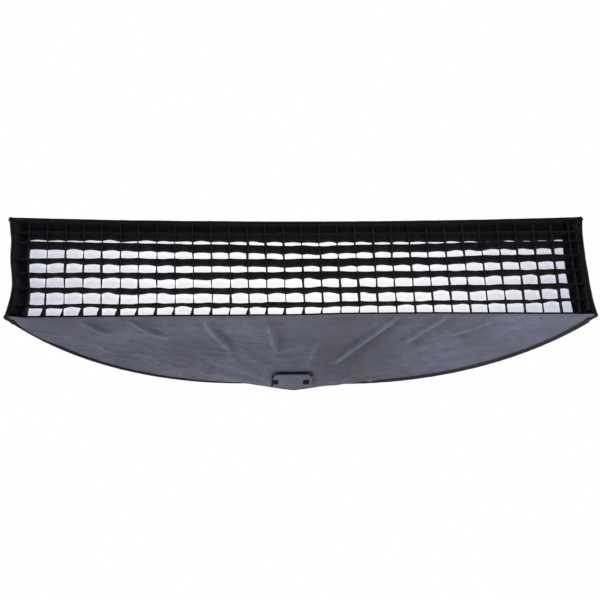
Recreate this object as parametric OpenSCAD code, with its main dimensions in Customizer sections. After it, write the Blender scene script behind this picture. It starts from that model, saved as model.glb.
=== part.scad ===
// Strip softbox with a fabric egg-crate grid and a bayonet speed ring.
// The mounting plane is y = 0 and the ring's axis is the Y axis. The open face looks along -Y,
// its long side lies along X, and +Z is up. "Forward" below is the distance along -Y.

/* [Face] */
// Width of the front opening, corner to corner
face_w = 1600; // [1500:10:1700]
// Height of the front opening, corner to corner
face_h = 350; // [330:5:380]
// Distance from the mounting plane forward to the front rim
depth = 480; // [450:5:510]
// How far the long sides of the rim pull in at the middle
long_bow = 13; // [8:1:18]
// How far the short sides of the rim pull in at the middle
short_bow = 13; // [6:1:14]

/* [Rods] */
// Diameter of a spring steel rod
rod_d = 4; // [3.5:0.1:4.2]
// Angle at which a rod leaves the ring, forward of the ring's plane
rod_start_angle = 8.5; // [7:0.5:10]
// Outer diameter of the seam channel that a rod runs in
sleeve_d = 9; // [8.5:0.5:10]

/* [Grid] */
// Spacing of the upright strips
grid_pitch_x = 49.8; // [48:0.1:49.9]
// Spacing of the long strips
grid_pitch_z = 48; // [44:0.5:49]
// Depth of the grid, front to back
grid_depth = 40; // [32:1:42]
// Thickness of a grid strip
grid_cloth = 1; // [0.6:0.1:1.4]

/* [Speed ring] */
// Radius of the opening that the flash tube goes through
lamp_bore_r = 52; // [48:1:54]
// Outer radius of the ring
ring_r = 80; // [78:1:82]

/* [Flaps] */
// Width of an access flap
flap_w = 116; // [100:2:118]
// Length of an access flap
flap_l = 86; // [80:2:100]
// Sideways shift of the flaps from the ring's axis
flap_shift = -10; // [-14:1:14]

/* [Hidden] */

fine = 64;                 // $fn of round parts, above the limit for polygons
eps = 0.5;                 // overshoot of a cutter past the face it cuts

// Thicknesses
cloth_t = 1.2;             // a shell panel
tape_t = 1.2;              // hook and loop tape
plate_t = 1.5;             // a flap, doubled and stiffened
hem_w = 12;
hem_t = 3.5;
hem_inset = 3.5;           // a hem ends this far inside the pocket tips
play = 0.3;                // gap between soft parts that are sewn together

// Speed ring, along the axis from the mounting plane forward
ring_w = 24;
lip_w = 5;                 // rear wall of the ring, behind the insert's flange
flange_w = 5;
flange_r = 67.5;
groove_r = 68;
spigot_r = 60;
spigot_back = 10;          // the spigot reaches this far behind the mounting plane
lug_r = 71.5;
lug_t = 5;
lug_sweep = 28;
counterbore_r = 75;
retainer_t = 3;
retainer_r = 74.5;
retainer_gap = 0.3;
retainer_w = lip_w + flange_w + retainer_gap;
screw_circle_r = 72;
screw_count = 6;
screw_d = 3;
screw_l = 9;

// Lock screw, on the +X side
lock_w = lip_w + flange_w / 2;
lock_d = 5;
lock_fit = 0.06;
pad_l = 4;
pad_gap = 0.05;
lock_tip_x = flange_r + pad_gap + pad_l;
knob_x = 88;
knob_r = 7.6;
knob_l = 14;
knob_grooves = 10;

// A rod's plane, for the upper right rod: s runs sideways from the socket's middle,
// w runs forward, and the rod is an arc from the socket to the corner pocket
socket_x = 74;
socket_z = 58;
socket_w = 15;
socket_half_l = 17;
socket_r = 5;
socket_bore_r = rod_d / 2 + 0.35;
pocket_r = 6.5;
tip_x = face_w / 2 - pocket_r;
tip_z = face_h / 2 - pocket_r;
tip_w = depth - pocket_r;
rod_fan = atan((tip_z - socket_z) / (tip_x - socket_x));
tip_s = norm([tip_x - socket_x, tip_z - socket_z]);
chord_angle = atan((tip_w - socket_w) / tip_s);
rod_end_angle = 2 * chord_angle - rod_start_angle;
rod_radius = norm([tip_s, tip_w - socket_w]) / 2 / sin(chord_angle - rod_start_angle);

function arc_turn(length) = length / rod_radius * 180 / PI;
function rod_s(a) = rod_radius * (sin(a) - sin(rod_start_angle));
function rod_w(a) = socket_w + rod_radius * (cos(rod_start_angle) - cos(a));
function rod_angle_at(w) = acos(cos(rod_start_angle) - (w - socket_w) / rod_radius);
function rod_point(a) = [
    socket_x + rod_s(a) * cos(rod_fan), -rod_w(a), socket_z + rod_s(a) * sin(rod_fan)
];
function rod_tangent(a) = [cos(a) * cos(rod_fan), -sin(a), cos(a) * sin(rod_fan)];
function unit(v) = v / norm(v);
// The direction from the rod into a panel: across is where the panel's threads run
function into_panel(a, across) = unit(across - (across * rod_tangent(a)) * rod_tangent(a));
function seam_gap(a) =
    let (t = (a - rod_start_angle) / (rod_end_angle - rod_start_angle)) 6.2 + 3 * pow(t, 8);
function seam_point(a, across) = rod_point(a) + seam_gap(a) * into_panel(a, across);

// Shell panels. The upper panel is straight threads across X from seam to seam, pulled
// towards its centre line; the right panel is the same between the upper and lower rods.
panel_start_angle = rod_start_angle + arc_turn(12);
panel_end_angle = rod_angle_at(depth - hem_w - eps - 6);
panel_back_z = 84.8;
panel_back_w = 22;
panel_front_z = face_h / 2 - long_bow - cloth_t;
panel_rows = 14;
panel_columns = 16;
ring_tuck = 2.5;           // the end panels dip this much past the lock knob

function centre_z(w) =
    panel_back_z + (panel_front_z - panel_back_z) * (w - panel_back_w) / (depth - panel_back_w);
function upper_point(u, a, inward) =
    let (seam = seam_point(a, [-1, 0, 0]), w = -seam.y)
    [u * seam.x, seam.y, seam.z + (centre_z(w) - seam.z) * (1 - u * u) - inward];
end_bow = (short_bow - 4.3) * sin(rod_end_angle);
function end_sag(t) = end_bow * pow(t, 2) + ring_tuck * pow(1 - t, 12);
function end_x(w, inward) =
    let (a = rod_angle_at(w), t = (a - rod_start_angle) / (rod_end_angle - rod_start_angle))
    rod_point(a).x - (end_sag(t) + inward) / sin(a);
function right_point(u, a, inward) =
    let (
        seam = seam_point(a, [0, 0, -1]),
        t = (a - rod_start_angle) / (rod_end_angle - rod_start_angle),
        push = end_sag(t) * (1 - u * u) + inward
    )
    [seam.x - push * sin(a), seam.y - push * cos(a), u * seam.z];
function steps(from, to, count) = [for (i = [0 : count]) from + (to - from) * i / count];

// Closed solid of a sheet: p holds rows of points on its middle surface
function middle_normal(p, i, j) =
    let (
        rows = len(p) - 1, cols = len(p[0]) - 1,
        along = p[min(i + 1, rows)][j] - p[max(i - 1, 0)][j],
        over = p[i][min(j + 1, cols)] - p[i][max(j - 1, 0)]
    )
    unit(cross(over, along));

module sheet(p, thick) {
    rows = len(p);
    cols = len(p[0]);
    count = rows * cols;
    function id(side, i, j) = side * count + i * cols + j;
    points = [for (side = [1, -1]) for (i = [0 : rows - 1]) for (j = [0 : cols - 1])
        p[i][j] + side * thick / 2 * middle_normal(p, i, j)];
    top = [for (i = [0 : rows - 2]) for (j = [0 : cols - 2]) for (half = [0, 1]) half == 0
        ? [id(0, i, j), id(0, i + 1, j), id(0, i + 1, j + 1)]
        : [id(0, i, j), id(0, i + 1, j + 1), id(0, i, j + 1)]];
    bottom = [for (f = top) [f[2] + count, f[1] + count, f[0] + count]];
    border = concat(
        [for (j = [0 : cols - 1]) [0, j]],
        [for (i = [1 : rows - 1]) [i, cols - 1]],
        [for (j = [1 : cols - 1]) [rows - 1, cols - 1 - j]],
        [for (i = [1 : rows - 2]) [rows - 1 - i, 0]]
    );
    walls = [for (k = [0 : len(border) - 1])
        let (b = border[k], c = border[(k + 1) % len(border)])
        for (half = [0, 1]) half == 0
            ? [id(0, b[0], b[1]), id(0, c[0], c[1]), id(1, c[0], c[1])]
            : [id(0, b[0], b[1]), id(1, c[0], c[1]), id(1, b[0], b[1])]];
    polyhedron(points = points, faces = concat(top, bottom, walls));
}

// Placement
module on_axis() { rotate([90, 0, 0]) children(); }          // children's +Z runs forward
module left() { mirror([1, 0, 0]) children(); }
module lower() { mirror([0, 0, 1]) children(); }
module in_rod_plane() {
    translate([socket_x, 0, socket_z]) rotate([0, -rod_fan, 0]) rotate([180, 0, 0]) children();
}
module on_rod(a) {                                            // children's +Z runs along the rod
    in_rod_plane() translate([rod_s(a), rod_w(a), 0]) rotate([0, 0, a]) rotate([0, 90, 0]) children();
}
module bend(from, to) {                                       // a 2D section bent along the rod's arc
    in_rod_plane()
        translate([-rod_radius * sin(rod_start_angle), socket_w + rod_radius * cos(rod_start_angle), 0])
        rotate([0, 0, from - 90])
        rotate_extrude(angle = to - from, $fn = fine) translate([rod_radius, 0]) children();
}
module on_lock() { translate([0, -lock_w, 0]) rotate([0, 90, 0]) children(); }  // +Z runs along +X

// Speed ring and mount
module bayonet_insert() {
    color("silver") on_axis() {
        rotate_extrude($fn = fine) polygon([
            [lamp_bore_r, -spigot_back], [spigot_r, -spigot_back], [spigot_r, lip_w],
            [flange_r, lip_w], [flange_r, lip_w + flange_w], [lamp_bore_r, lip_w + flange_w]
        ]);
        for (turn = [0 : 120 : 240])
            rotate([0, 0, turn - lug_sweep / 2])
            rotate_extrude(angle = lug_sweep, $fn = fine)
            translate([spigot_r - eps, -spigot_back]) square([lug_r - spigot_r + eps, lug_t]);
    }
}

module socket_web() {
    linear_extrude(ring_w - 6)
    polygon([[38, 66], [66, 38], [82, 52], [80, 66], [58, 68]]);
}

module speed_ring() {
    color("dimgray") difference() {
        union() {
            on_axis() cylinder(h = ring_w, r = ring_r, $fn = fine);
            for (side = [0, 1]) for (level = [0, 1])
                mirror([side, 0, 0]) mirror([0, 0, level]) {
                    on_axis() translate([0, 0, 3]) socket_web();
                    on_rod(rod_start_angle) translate([0, 0, -socket_half_l - 2])
                        cylinder(h = socket_half_l + 2, r = 7.5, $fn = fine);
                }
        }
        on_axis() {
            translate([0, 0, -eps]) cylinder(h = ring_w, r = spigot_r + 0.2, $fn = fine);
            translate([0, 0, lip_w - 0.1]) cylinder(h = ring_w, r = groove_r, $fn = fine);
            translate([0, 0, retainer_w]) cylinder(h = ring_w, r = counterbore_r, $fn = fine);
            for (i = [0 : screw_count - 1])
                rotate([0, 0, 30 + i * 360 / screw_count]) translate([screw_circle_r, 0, 3])
                    cylinder(h = ring_w, r = screw_d / 2 + 0.05, $fn = fine);
        }
        on_lock() cylinder(h = 100, r = lock_d / 2 + lock_fit, $fn = fine);
        for (side = [0, 1]) for (level = [0, 1])
            mirror([side, 0, 0]) mirror([0, 0, level])
                on_rod(rod_start_angle) translate([0, 0, -socket_half_l])
                    cylinder(h = 60, r = socket_r + 0.05, $fn = fine);
    }
}

module retainer_ring() {
    color("gray") on_axis() translate([0, 0, retainer_w]) difference() {
        cylinder(h = retainer_t, r = retainer_r, $fn = fine);
        translate([0, 0, -eps]) cylinder(h = retainer_t + 1, r = lamp_bore_r + 3, $fn = fine);
        for (i = [0 : screw_count - 1])
            rotate([0, 0, 30 + i * 360 / screw_count]) translate([screw_circle_r, 0, -eps])
                cylinder(h = retainer_t + 1, r = screw_d / 2 + 0.2, $fn = fine);
    }
}

module retainer_screws() {
    color("lightgray") on_axis()
        for (i = [0 : screw_count - 1])
            rotate([0, 0, 30 + i * 360 / screw_count])
            translate([screw_circle_r, 0, retainer_w + retainer_t]) {
                translate([0, 0, -screw_l]) cylinder(h = screw_l, r = screw_d / 2, $fn = fine);
                cylinder(h = 2, r = screw_d * 0.9, $fn = fine);
            }
}

module lock_pad() {
    color("ivory") on_lock() translate([0, 0, flange_r + pad_gap])
        cylinder(h = pad_l - 0.05, r = lock_d / 2 - 0.02, $fn = fine);
}

module lock_knob() {
    color("black") on_lock() {
        translate([0, 0, lock_tip_x]) cylinder(h = knob_x - lock_tip_x + 2, r = lock_d / 2, $fn = fine);
        translate([0, 0, knob_x]) difference() {
            union() {
                cylinder(h = knob_l, r = knob_r, $fn = fine);
                translate([0, 0, knob_l]) cylinder(h = 1.5, r1 = knob_r - 1, r2 = knob_r - 2.5, $fn = fine);
            }
            for (i = [0 : knob_grooves - 1])
                rotate([0, 0, i * 360 / knob_grooves]) translate([knob_r + 0.6, 0, 3])
                    cylinder(h = knob_l, r = 1.5, $fn = 24);
        }
    }
}

// Rods
module socket() {
    color("goldenrod") on_rod(rod_start_angle) difference() {
        translate([0, 0, -socket_half_l]) cylinder(h = 2 * socket_half_l, r = socket_r, $fn = fine);
        translate([0, 0, 4 - socket_half_l]) cylinder(h = 2 * socket_half_l, r = socket_bore_r, $fn = fine);
    }
}

rod_seat = arc_turn(socket_half_l - 5);
tip_back = arc_turn(14);
pocket_back = arc_turn(34);

module rod() {
    color("gray") bend(rod_start_angle - rod_seat, rod_end_angle - arc_turn(4))
        circle(r = rod_d / 2, $fn = fine);
}

module rod_tip() {
    color("black") on_rod(rod_end_angle - tip_back) difference() {
        union() {
            cylinder(h = 14, r = rod_d / 2 + 1.4, $fn = fine);
            translate([0, 0, 14]) sphere(r = rod_d / 2 + 1.4, $fn = fine);
        }
        translate([0, 0, -1]) cylinder(h = 12.5, r = rod_d / 2 + 0.12, $fn = fine);
    }
}

module sleeve() {
    start = rod_start_angle + arc_turn(socket_half_l + 12);
    color("black") bend(start, rod_end_angle - pocket_back - arc_turn(1)) difference() {
        circle(r = sleeve_d / 2, $fn = fine);
        circle(r = rod_d / 2 + 0.8, $fn = fine);
    }
}

module corner_pocket() {
    color("black") on_rod(rod_end_angle - pocket_back) difference() {
        union() {
            cylinder(h = 34, r = pocket_r, $fn = fine);
            translate([0, 0, 34]) sphere(r = pocket_r, $fn = fine);
        }
        translate([0, 0, -1]) cylinder(h = 35, r = rod_d / 2 + 2, $fn = fine);
        translate([0, 0, 34]) sphere(r = rod_d / 2 + 2, $fn = fine);
    }
}

// Fabric shell
flap_hinge_w = 36;
flap_gap = 4.4;            // from the panel's middle surface to the flap's
flap_tilt = atan((panel_front_z - panel_back_z) / (depth - panel_back_w));
hand_hole_w = 92;
hand_hole_l = 56;

module on_flap() {         // x across, y forward from the hinge line, z outward
    translate([flap_shift, -flap_hinge_w, centre_z(flap_hinge_w) + flap_gap])
        rotate([-flap_tilt, 0, 0]) rotate([0, 0, 180]) children();
}

// Hairline cuts beside the hand hole keep each part of the panel a plain curved sheet
module upper_shell() {
    color("slategray") difference() {
        sheet([for (a = steps(panel_start_angle, panel_end_angle, panel_rows))
            [for (u = steps(-1, 1, panel_columns)) upper_point(u, a, 0)]], cloth_t);
        on_flap() translate([-hand_hole_w / 2, 12, -30]) cube([hand_hole_w, hand_hole_l, 60]);
        for (side = [-1, 1]) translate([flap_shift + side * (hand_hole_w / 2 - 0.03) - 0.03, -depth, 0])
            cube([0.06, depth, face_h]);
    }
}

module right_shell() {
    color("slategray")
        sheet([for (a = steps(panel_start_angle, panel_end_angle, 2 * panel_rows))
            [for (u = steps(-1, 1, panel_columns)) right_point(-u, a, 0)]], cloth_t);
}

function hem_level(half, bow, u) = half - hem_inset - (bow - hem_inset) * (1 - u * u);
module hem_arch(half, bow, reach) {
    us = steps(-1, 1, panel_columns);
    translate([0, -depth, 0]) mirror([0, 1, 0]) rotate([90, 0, 0])
        linear_extrude(hem_w)
        polygon(concat(
            [for (u = us) [u * reach, hem_level(half, bow, u)]],
            [for (u = us) [-u * reach, hem_level(half, bow, u) - hem_t]]
        ));
}

module upper_edge() { color("slategray") hem_arch(face_h / 2, long_bow, tip_x - 16); }
module right_edge() {
    color("slategray") rotate([0, 90, 0]) hem_arch(face_w / 2, short_bow, tip_z - 12);
}

module collar_tabs() {
    tab_sweep = 56;
    color("black") difference() {
        on_axis() for (turn = [0 : 90 : 270])
            rotate([0, 0, turn - tab_sweep / 2]) rotate_extrude(angle = tab_sweep, $fn = fine)
                translate([ring_r + play, 3]) square([1.8, ring_w - 5]);
        on_lock() cylinder(h = 100, r = lock_d / 2 + 2, $fn = fine);
    }
}

// Inside face of the lip: strips of tape that follow the panels
module lip_tape(from_w, to_w, inward) {
    for (flip = [0, 1]) {
        mirror([0, 0, flip])
            sheet([for (a = steps(rod_angle_at(from_w), rod_angle_at(to_w), 1))
                [for (u = steps(-0.985, 0.985, panel_columns)) upper_point(u, a, inward)]], tape_t);
        mirror([flip, 0, 0])
            sheet([for (a = steps(rod_angle_at(from_w), rod_angle_at(to_w), 1))
                [for (u = steps(0.93, -0.93, panel_columns)) right_point(u, a, inward + 0.25)]], tape_t);
    }
}
tape_inward = cloth_t / 2 + play + tape_t / 2;
diffuser_w = depth - 57;
module grid_hook_tape() { color("black") lip_tape(depth - 38, depth - 14, tape_inward); }
module diffuser_hook_tape() { color("black") lip_tape(diffuser_w - 6, diffuser_w + 16, tape_inward); }

// Access flaps
module upper_flap_plate() {
    corner = 16;
    color("slategray") on_flap() translate([0, 0, -plate_t / 2]) linear_extrude(plate_t) union() {
        translate([-flap_w / 2, 0]) square([flap_w, flap_l - corner]);
        translate([-flap_w / 2 + corner, flap_l / 2]) square([flap_w - 2 * corner, flap_l / 2]);
        for (side = [-1, 1])
            translate([side * (flap_w / 2 - corner), flap_l - corner]) circle(r = corner, $fn = fine);
    }
}
module upper_closing_tabs() {
    color("black") on_flap() for (side = [-1, 1])
        translate([side * 44 - 5, flap_l * 0.2, plate_t / 2 + 0.1]) cube([16, 26, tape_t]);
}
module flap_hook_patches() {
    color("black") for (flip = [0, 1]) mirror([0, 0, flip])
        on_flap() translate([-36, flap_l - 15, cloth_t / 2 + play - flap_gap]) cube([72, 12, 2.2]);
}

// Inner baffle on elastic straps
baffle_w = 250;
baffle_half_x = 500;
baffle_half_z = 92;
module baffle_outline(cut) {
    xs = steps(-1, 1, panel_columns);
    polygon(concat(
        [for (u = xs) [u * (baffle_half_x - cut), baffle_half_z - cut - 6 * (1 - u * u)]],
        [for (u = xs) [-u * (baffle_half_x - cut), -(baffle_half_z - cut - 6 * (1 - u * u))]]
    ));
}
module inner_baffle() {
    color("white") on_axis() translate([0, 0, baffle_w]) linear_extrude(cloth_t) baffle_outline(0);
}
strap_anchor_angle = rod_angle_at(baffle_w + 12);
module baffle_strap(from, to) {       // a flat ribbon between two points, at their mean depth
    run = to - from;
    translate(from) rotate([0, -atan2(run.z, norm([run.x, run.y])), 0]) rotate([0, 0, atan2(run.y, run.x)])
        translate([0, -0.4, -9]) cube([norm(run), 0.8, 18]);
}
module each_strap() {                 // the upper right corner strap, and one to the long side
    seam = rod_point(strap_anchor_angle);
    for (side = [0, 1]) for (level = [0, 1]) mirror([side, 0, 0]) mirror([0, 0, level]) {
        baffle_strap([baffle_half_x - 22, -baffle_w - 4, baffle_half_z - 18],
            [seam.x - 22, -baffle_w - 4, seam.z - 17]);
        translate([180, -baffle_w - 4, baffle_half_z - 24]) cube([18, 0.8, 52]);
    }
}
module baffle_straps() { color("gainsboro") each_strap(); }
module baffle_studs() {
    color("silver") for (side = [0, 1]) for (level = [0, 1])
        mirror([side, 0, 0]) mirror([0, 0, level]) {
            translate([baffle_half_x - 14, -baffle_w - 5.2, baffle_half_z - 15])
                on_axis() cylinder(h = 2, r = 5, $fn = fine);
            translate([189, -baffle_w - 5.2, baffle_half_z - 16])
                on_axis() cylinder(h = 2, r = 5, $fn = fine);
        }
}

// Front diffuser and its loop tape border
inside_gap = tape_inward + tape_t / 2 + play + 1;
diffuser_bow_x = 5;
diffuser_half_x = end_x(diffuser_w, inside_gap) - 1.2 + diffuser_bow_x;
diffuser_half_z = upper_point(1, rod_angle_at(diffuser_w), inside_gap).z - 3;
diffuser_bow_z = diffuser_half_z - (centre_z(diffuser_w) - inside_gap);
module face_outline(cut) {
    us = steps(-1, 1, panel_columns);
    hx = diffuser_half_x - cut;
    hz = diffuser_half_z - cut;
    polygon(concat(
        [for (u = us) [u * (hx - 10), hz - diffuser_bow_z * (1 - u * u)]],
        [for (i = [1 : 7]) let (u = 1 - i / 4) [hx - diffuser_bow_x * (1 - u * u), u * (hz - 10)]],
        [for (u = us) [-u * (hx - 10), -(hz - diffuser_bow_z * (1 - u * u))]],
        [for (i = [1 : 7]) let (u = i / 4 - 1) [-(hx - diffuser_bow_x * (1 - u * u)), u * (hz - 10)]]
    ));
}
border_w = 12;

module front_diffuser() {
    color("white") on_axis() translate([0, 0, diffuser_w]) linear_extrude(cloth_t) face_outline(2);
}
module diffuser_border() {
    color("black") on_axis() translate([0, 0, diffuser_w + cloth_t + play])
        linear_extrude(2.5) difference() {
            face_outline(0);
            face_outline(border_w);
        }
}

// Egg-crate grid: long strips slotted from the back, upright strips slotted from the front
grid_front = depth - 3;
grid_back = grid_front - grid_depth;
upright_count = 31;
long_count = 6;
slot_w = grid_cloth + 0.6;
slot_l = grid_depth / 2 + 0.3;
band_t = 1.5;
band_front_x = end_x(grid_front, inside_gap) - 1.2;
band_back_x = end_x(grid_back, inside_gap) - 1.2;
grid_end_z = upper_point(1, rod_angle_at(grid_back), inside_gap).z - 4;
function upright_x(i) = (i - (upright_count - 1) / 2) * grid_pitch_x;
function long_z(j) = (j - (long_count - 1) / 2) * grid_pitch_z;
// Height of the grid's upper band at x, at its back edge (0) or its front edge (1)
function band_z(x, front) =
    let (
        w = front == 1 ? grid_front : grid_back,
        end = grid_end_z + (front == 1 ? 5 : 0),
        middle = centre_z(w) - inside_gap - (front == 1 ? 2 : 0)
    )
    end - (end - middle) * (1 - pow(x / band_back_x, 2));
function slots(places, base, tip) = [for (p = places) for (k = [0 : 3])
    [p + (k < 2 ? -1 : 1) * slot_w / 2, (k == 0 || k == 3) ? base : tip]];

module long_strip() {
    places = [for (i = [0 : upright_count - 1]) upright_x(i)];
    front_half = band_front_x - 4;
    back_half = band_back_x - 4;
    translate([0, 0, -grid_cloth / 2]) mirror([0, 1, 0]) linear_extrude(grid_cloth) polygon(concat(
        [[-back_half, grid_back]], slots(places, grid_back, grid_back + slot_l),
        [[back_half, grid_back], [front_half, grid_front], [-front_half, grid_front]]
    ));
}
module upright_strip(back_half, front_half) {
    places = [for (j = [0 : long_count - 1]) long_z(j)];
    rotate([0, -90, 0]) translate([0, 0, -grid_cloth / 2]) mirror([0, 1, 0])
        linear_extrude(grid_cloth) polygon(concat(
            [[-front_half, grid_front]], slots(places, grid_front, grid_front - slot_l),
            [[front_half, grid_front], [back_half, grid_back], [-back_half, grid_back]]
        ));
}
module grid_long_strips() {
    color("black") for (j = [0 : long_count - 1]) translate([0, 0, long_z(j)]) long_strip();
}
module grid_cross_strips() {
    color("black") for (i = [0 : upright_count - 1]) translate([upright_x(i), 0, 0])
        upright_strip(band_z(upright_x(i), 0) - band_t - play, band_z(upright_x(i), 1) - band_t - play);
}
module grid_border() {
    half = band_back_x - 6;
    color("black") for (flip = [0, 1]) {
        mirror([0, 0, flip]) sheet([
            for (front = [0, 1]) [for (u = steps(-1, 1, panel_columns))
                [u * half, -(front == 1 ? grid_front : grid_back), band_z(u * half, front) - band_t / 2]]
        ], band_t);
        mirror([flip, 0, 0]) translate([0, 0, -grid_end_z + 6]) mirror([0, 1, 0])
            linear_extrude(2 * grid_end_z - 12) polygon([
                [band_back_x - band_t, grid_back], [band_back_x, grid_back],
                [band_front_x, grid_front], [band_front_x - band_t, grid_front]
            ]);
    }
}

bayonet_insert();
speed_ring();
retainer_ring();
retainer_screws();
lock_pad();
lock_knob();
socket();  // socket_upper_right
left() socket();  // socket_upper_left
lower() socket();  // socket_lower_right
left() lower() socket();  // socket_lower_left
rod();  // rod_upper_right
left() rod();  // rod_upper_left
lower() rod();  // rod_lower_right
left() lower() rod();  // rod_lower_left
rod_tip();  // rod_tip_upper_right
left() rod_tip();  // rod_tip_upper_left
lower() rod_tip();  // rod_tip_lower_right
left() lower() rod_tip();  // rod_tip_lower_left
sleeve();  // sleeve_upper_right
left() sleeve();  // sleeve_upper_left
lower() sleeve();  // sleeve_lower_right
left() lower() sleeve();  // sleeve_lower_left
corner_pocket();  // corner_pocket_upper_right
left() corner_pocket();  // corner_pocket_upper_left
lower() corner_pocket();  // corner_pocket_lower_right
left() lower() corner_pocket();  // corner_pocket_lower_left
upper_shell();  // upper_panel
lower() upper_shell();  // lower_panel
right_shell();  // right_panel
left() right_shell();  // left_panel
upper_edge();  // upper_hem
lower() upper_edge();  // lower_hem
right_edge();  // right_hem
left() right_edge();  // left_hem
collar_tabs();
grid_hook_tape();
diffuser_hook_tape();
upper_flap_plate();  // upper_flap
lower() upper_flap_plate();  // lower_flap
upper_closing_tabs();  // upper_flap_tabs
lower() upper_closing_tabs();  // lower_flap_tabs
flap_hook_patches();
inner_baffle();
baffle_straps();
baffle_studs();
front_diffuser();
diffuser_border();
grid_border();
grid_long_strips();
grid_cross_strips();
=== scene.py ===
import math

import bmesh
import bpy
import numpy as np
from mathutils import Matrix, Vector, noise


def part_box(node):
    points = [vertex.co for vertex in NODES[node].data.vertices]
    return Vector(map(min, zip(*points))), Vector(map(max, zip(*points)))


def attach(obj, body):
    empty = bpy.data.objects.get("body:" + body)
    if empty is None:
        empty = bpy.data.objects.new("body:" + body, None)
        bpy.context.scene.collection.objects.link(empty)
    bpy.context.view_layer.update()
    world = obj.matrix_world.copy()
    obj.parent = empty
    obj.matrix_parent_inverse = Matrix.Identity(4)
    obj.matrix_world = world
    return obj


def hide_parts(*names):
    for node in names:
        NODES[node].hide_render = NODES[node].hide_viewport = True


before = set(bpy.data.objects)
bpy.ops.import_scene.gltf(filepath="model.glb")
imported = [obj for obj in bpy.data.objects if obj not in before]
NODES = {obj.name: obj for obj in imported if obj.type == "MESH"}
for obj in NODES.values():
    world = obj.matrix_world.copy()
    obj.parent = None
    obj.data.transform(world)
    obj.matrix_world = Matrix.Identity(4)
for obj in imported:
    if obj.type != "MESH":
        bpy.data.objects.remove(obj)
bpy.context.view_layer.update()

pi = math.pi


# ---------------------------------------------------------------- measures, in metres
MM = 0.001
DEPTH = 0.480
FACE_X, FACE_Z = 0.800, 0.175
LONG_BOW, SHORT_BOW = 0.013, 0.013
HEM_W = 0.012
RING_R = 0.080
FLAP_HINGE = 0.036
FLAP_W, FLAP_L, FLAP_GAP, FLAP_X = 0.116, 0.086, 0.0044, -0.010
BACK_Z, FRONT_Z = 0.0848, FACE_Z - LONG_BOW - 0.0012

# a rod is an arc in a slanted plane, from its socket to its corner pocket
SOCKET = (0.074, 0.015, 0.058)                      # x, forward, z
TIP = (FACE_X - 0.0065, DEPTH - 0.0065, FACE_Z - 0.0065)
START = math.radians(8.5)
FAN = math.atan2(TIP[2] - SOCKET[2], TIP[0] - SOCKET[0])
SPAN = math.hypot(TIP[0] - SOCKET[0], TIP[2] - SOCKET[2])
CHORD = math.atan2(TIP[1] - SOCKET[1], SPAN)
END = 2 * CHORD - START
RAD = math.hypot(SPAN, TIP[1] - SOCKET[1]) / 2 / math.sin(CHORD - START)
END_BOW = (SHORT_BOW - 0.0043) * math.sin(END)


def vec(x, y, z):
    return np.array([x, y, z], float)


def unit(v):
    return v / max(np.linalg.norm(v), 1e-12)


def lerp(a, b, t):
    return a + (b - a) * t


def smooth(t):
    t = min(max(t, 0.0), 1.0)
    return t * t * (3 - 2 * t)


def rod_point(a):
    s = RAD * (math.sin(a) - math.sin(START))
    w = SOCKET[1] + RAD * (math.cos(START) - math.cos(a))
    return vec(SOCKET[0] + s * math.cos(FAN), -w, SOCKET[2] + s * math.sin(FAN))


def rod_tangent(a):
    return vec(math.cos(a) * math.cos(FAN), -math.sin(a), math.cos(a) * math.sin(FAN))


def rod_angle(w):
    return math.acos(math.cos(START) - (w - SOCKET[1]) / RAD)


def turn(length):
    return length / RAD


def into_panel(a, across):
    t = rod_tangent(a)
    return unit(across - across.dot(t) * t)


def seam_point(a, across, off):
    t = (a - START) / (END - START)
    return rod_point(a) + (off + 0.003 * t ** 8) * into_panel(a, across)


def centre_z(w):
    return BACK_Z + (FRONT_Z - BACK_Z) * (w - 0.022) / (DEPTH - 0.022)


def upper_point(u, a, off=0.0042, inward=0.0):
    p = seam_point(a, vec(-1, 0, 0), off)
    z = p[2] + (centre_z(-p[1]) - p[2]) * (1 - u * u) - inward
    return vec(u * p[0], p[1], z)


def right_point(u, a, off=0.0042, inward=0.0):
    p = seam_point(a, vec(0, 0, -1), off)
    t = (a - START) / (END - START)
    push = (END_BOW * t ** 2 + 0.0025 * max(1 - t, 0) ** 12) * (1 - u * u) + inward
    return vec(p[0] - push * math.sin(a), p[1] - push * math.cos(a), u * p[2])


def fbm(x, y, z, octaves=3):
    total, size = 0.0, 1.0
    for k in range(octaves):
        f = 2.0 ** k
        total += size * noise.noise(Vector((x * f + 7.3 * k, y * f, z * f)))
        size *= 0.5
    return total


# ---------------------------------------------------------------- materials
def nodes_of(name):
    m = bpy.data.materials.new(name)
    m.use_nodes = True
    t = m.node_tree
    return m, t, t.nodes["Principled BSDF"]


def link(t, a, b):
    t.links.new(a, b)


def math_node(t, op, a, b=None, c=None):
    n = t.nodes.new("ShaderNodeMath")
    n.operation = op
    for i, v in enumerate((a, b, c)):
        if v is None:
            continue
        if isinstance(v, (int, float)):
            n.inputs[i].default_value = v
        else:
            link(t, v, n.inputs[i])
    return n.outputs[0]


def noise_node(t, coord, scale, detail=2.0, rough=0.5, distortion=0.0):
    n = t.nodes.new("ShaderNodeTexNoise")
    n.inputs["Scale"].default_value = scale
    n.inputs["Detail"].default_value = detail
    n.inputs["Roughness"].default_value = rough
    n.inputs["Distortion"].default_value = distortion
    link(t, coord, n.inputs["Vector"])
    return n.outputs["Fac"]


def ramp(t, fac, stops):
    n = t.nodes.new("ShaderNodeValToRGB")
    els = n.color_ramp.elements
    els[0].position, els[0].color = stops[0][0], (*stops[0][1], 1)
    els[1].position, els[1].color = stops[-1][0], (*stops[-1][1], 1)
    for pos, col in stops[1:-1]:
        els.new(pos).color = (*col, 1)
    link(t, fac, n.inputs["Fac"])
    return n.outputs["Color"]


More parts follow.
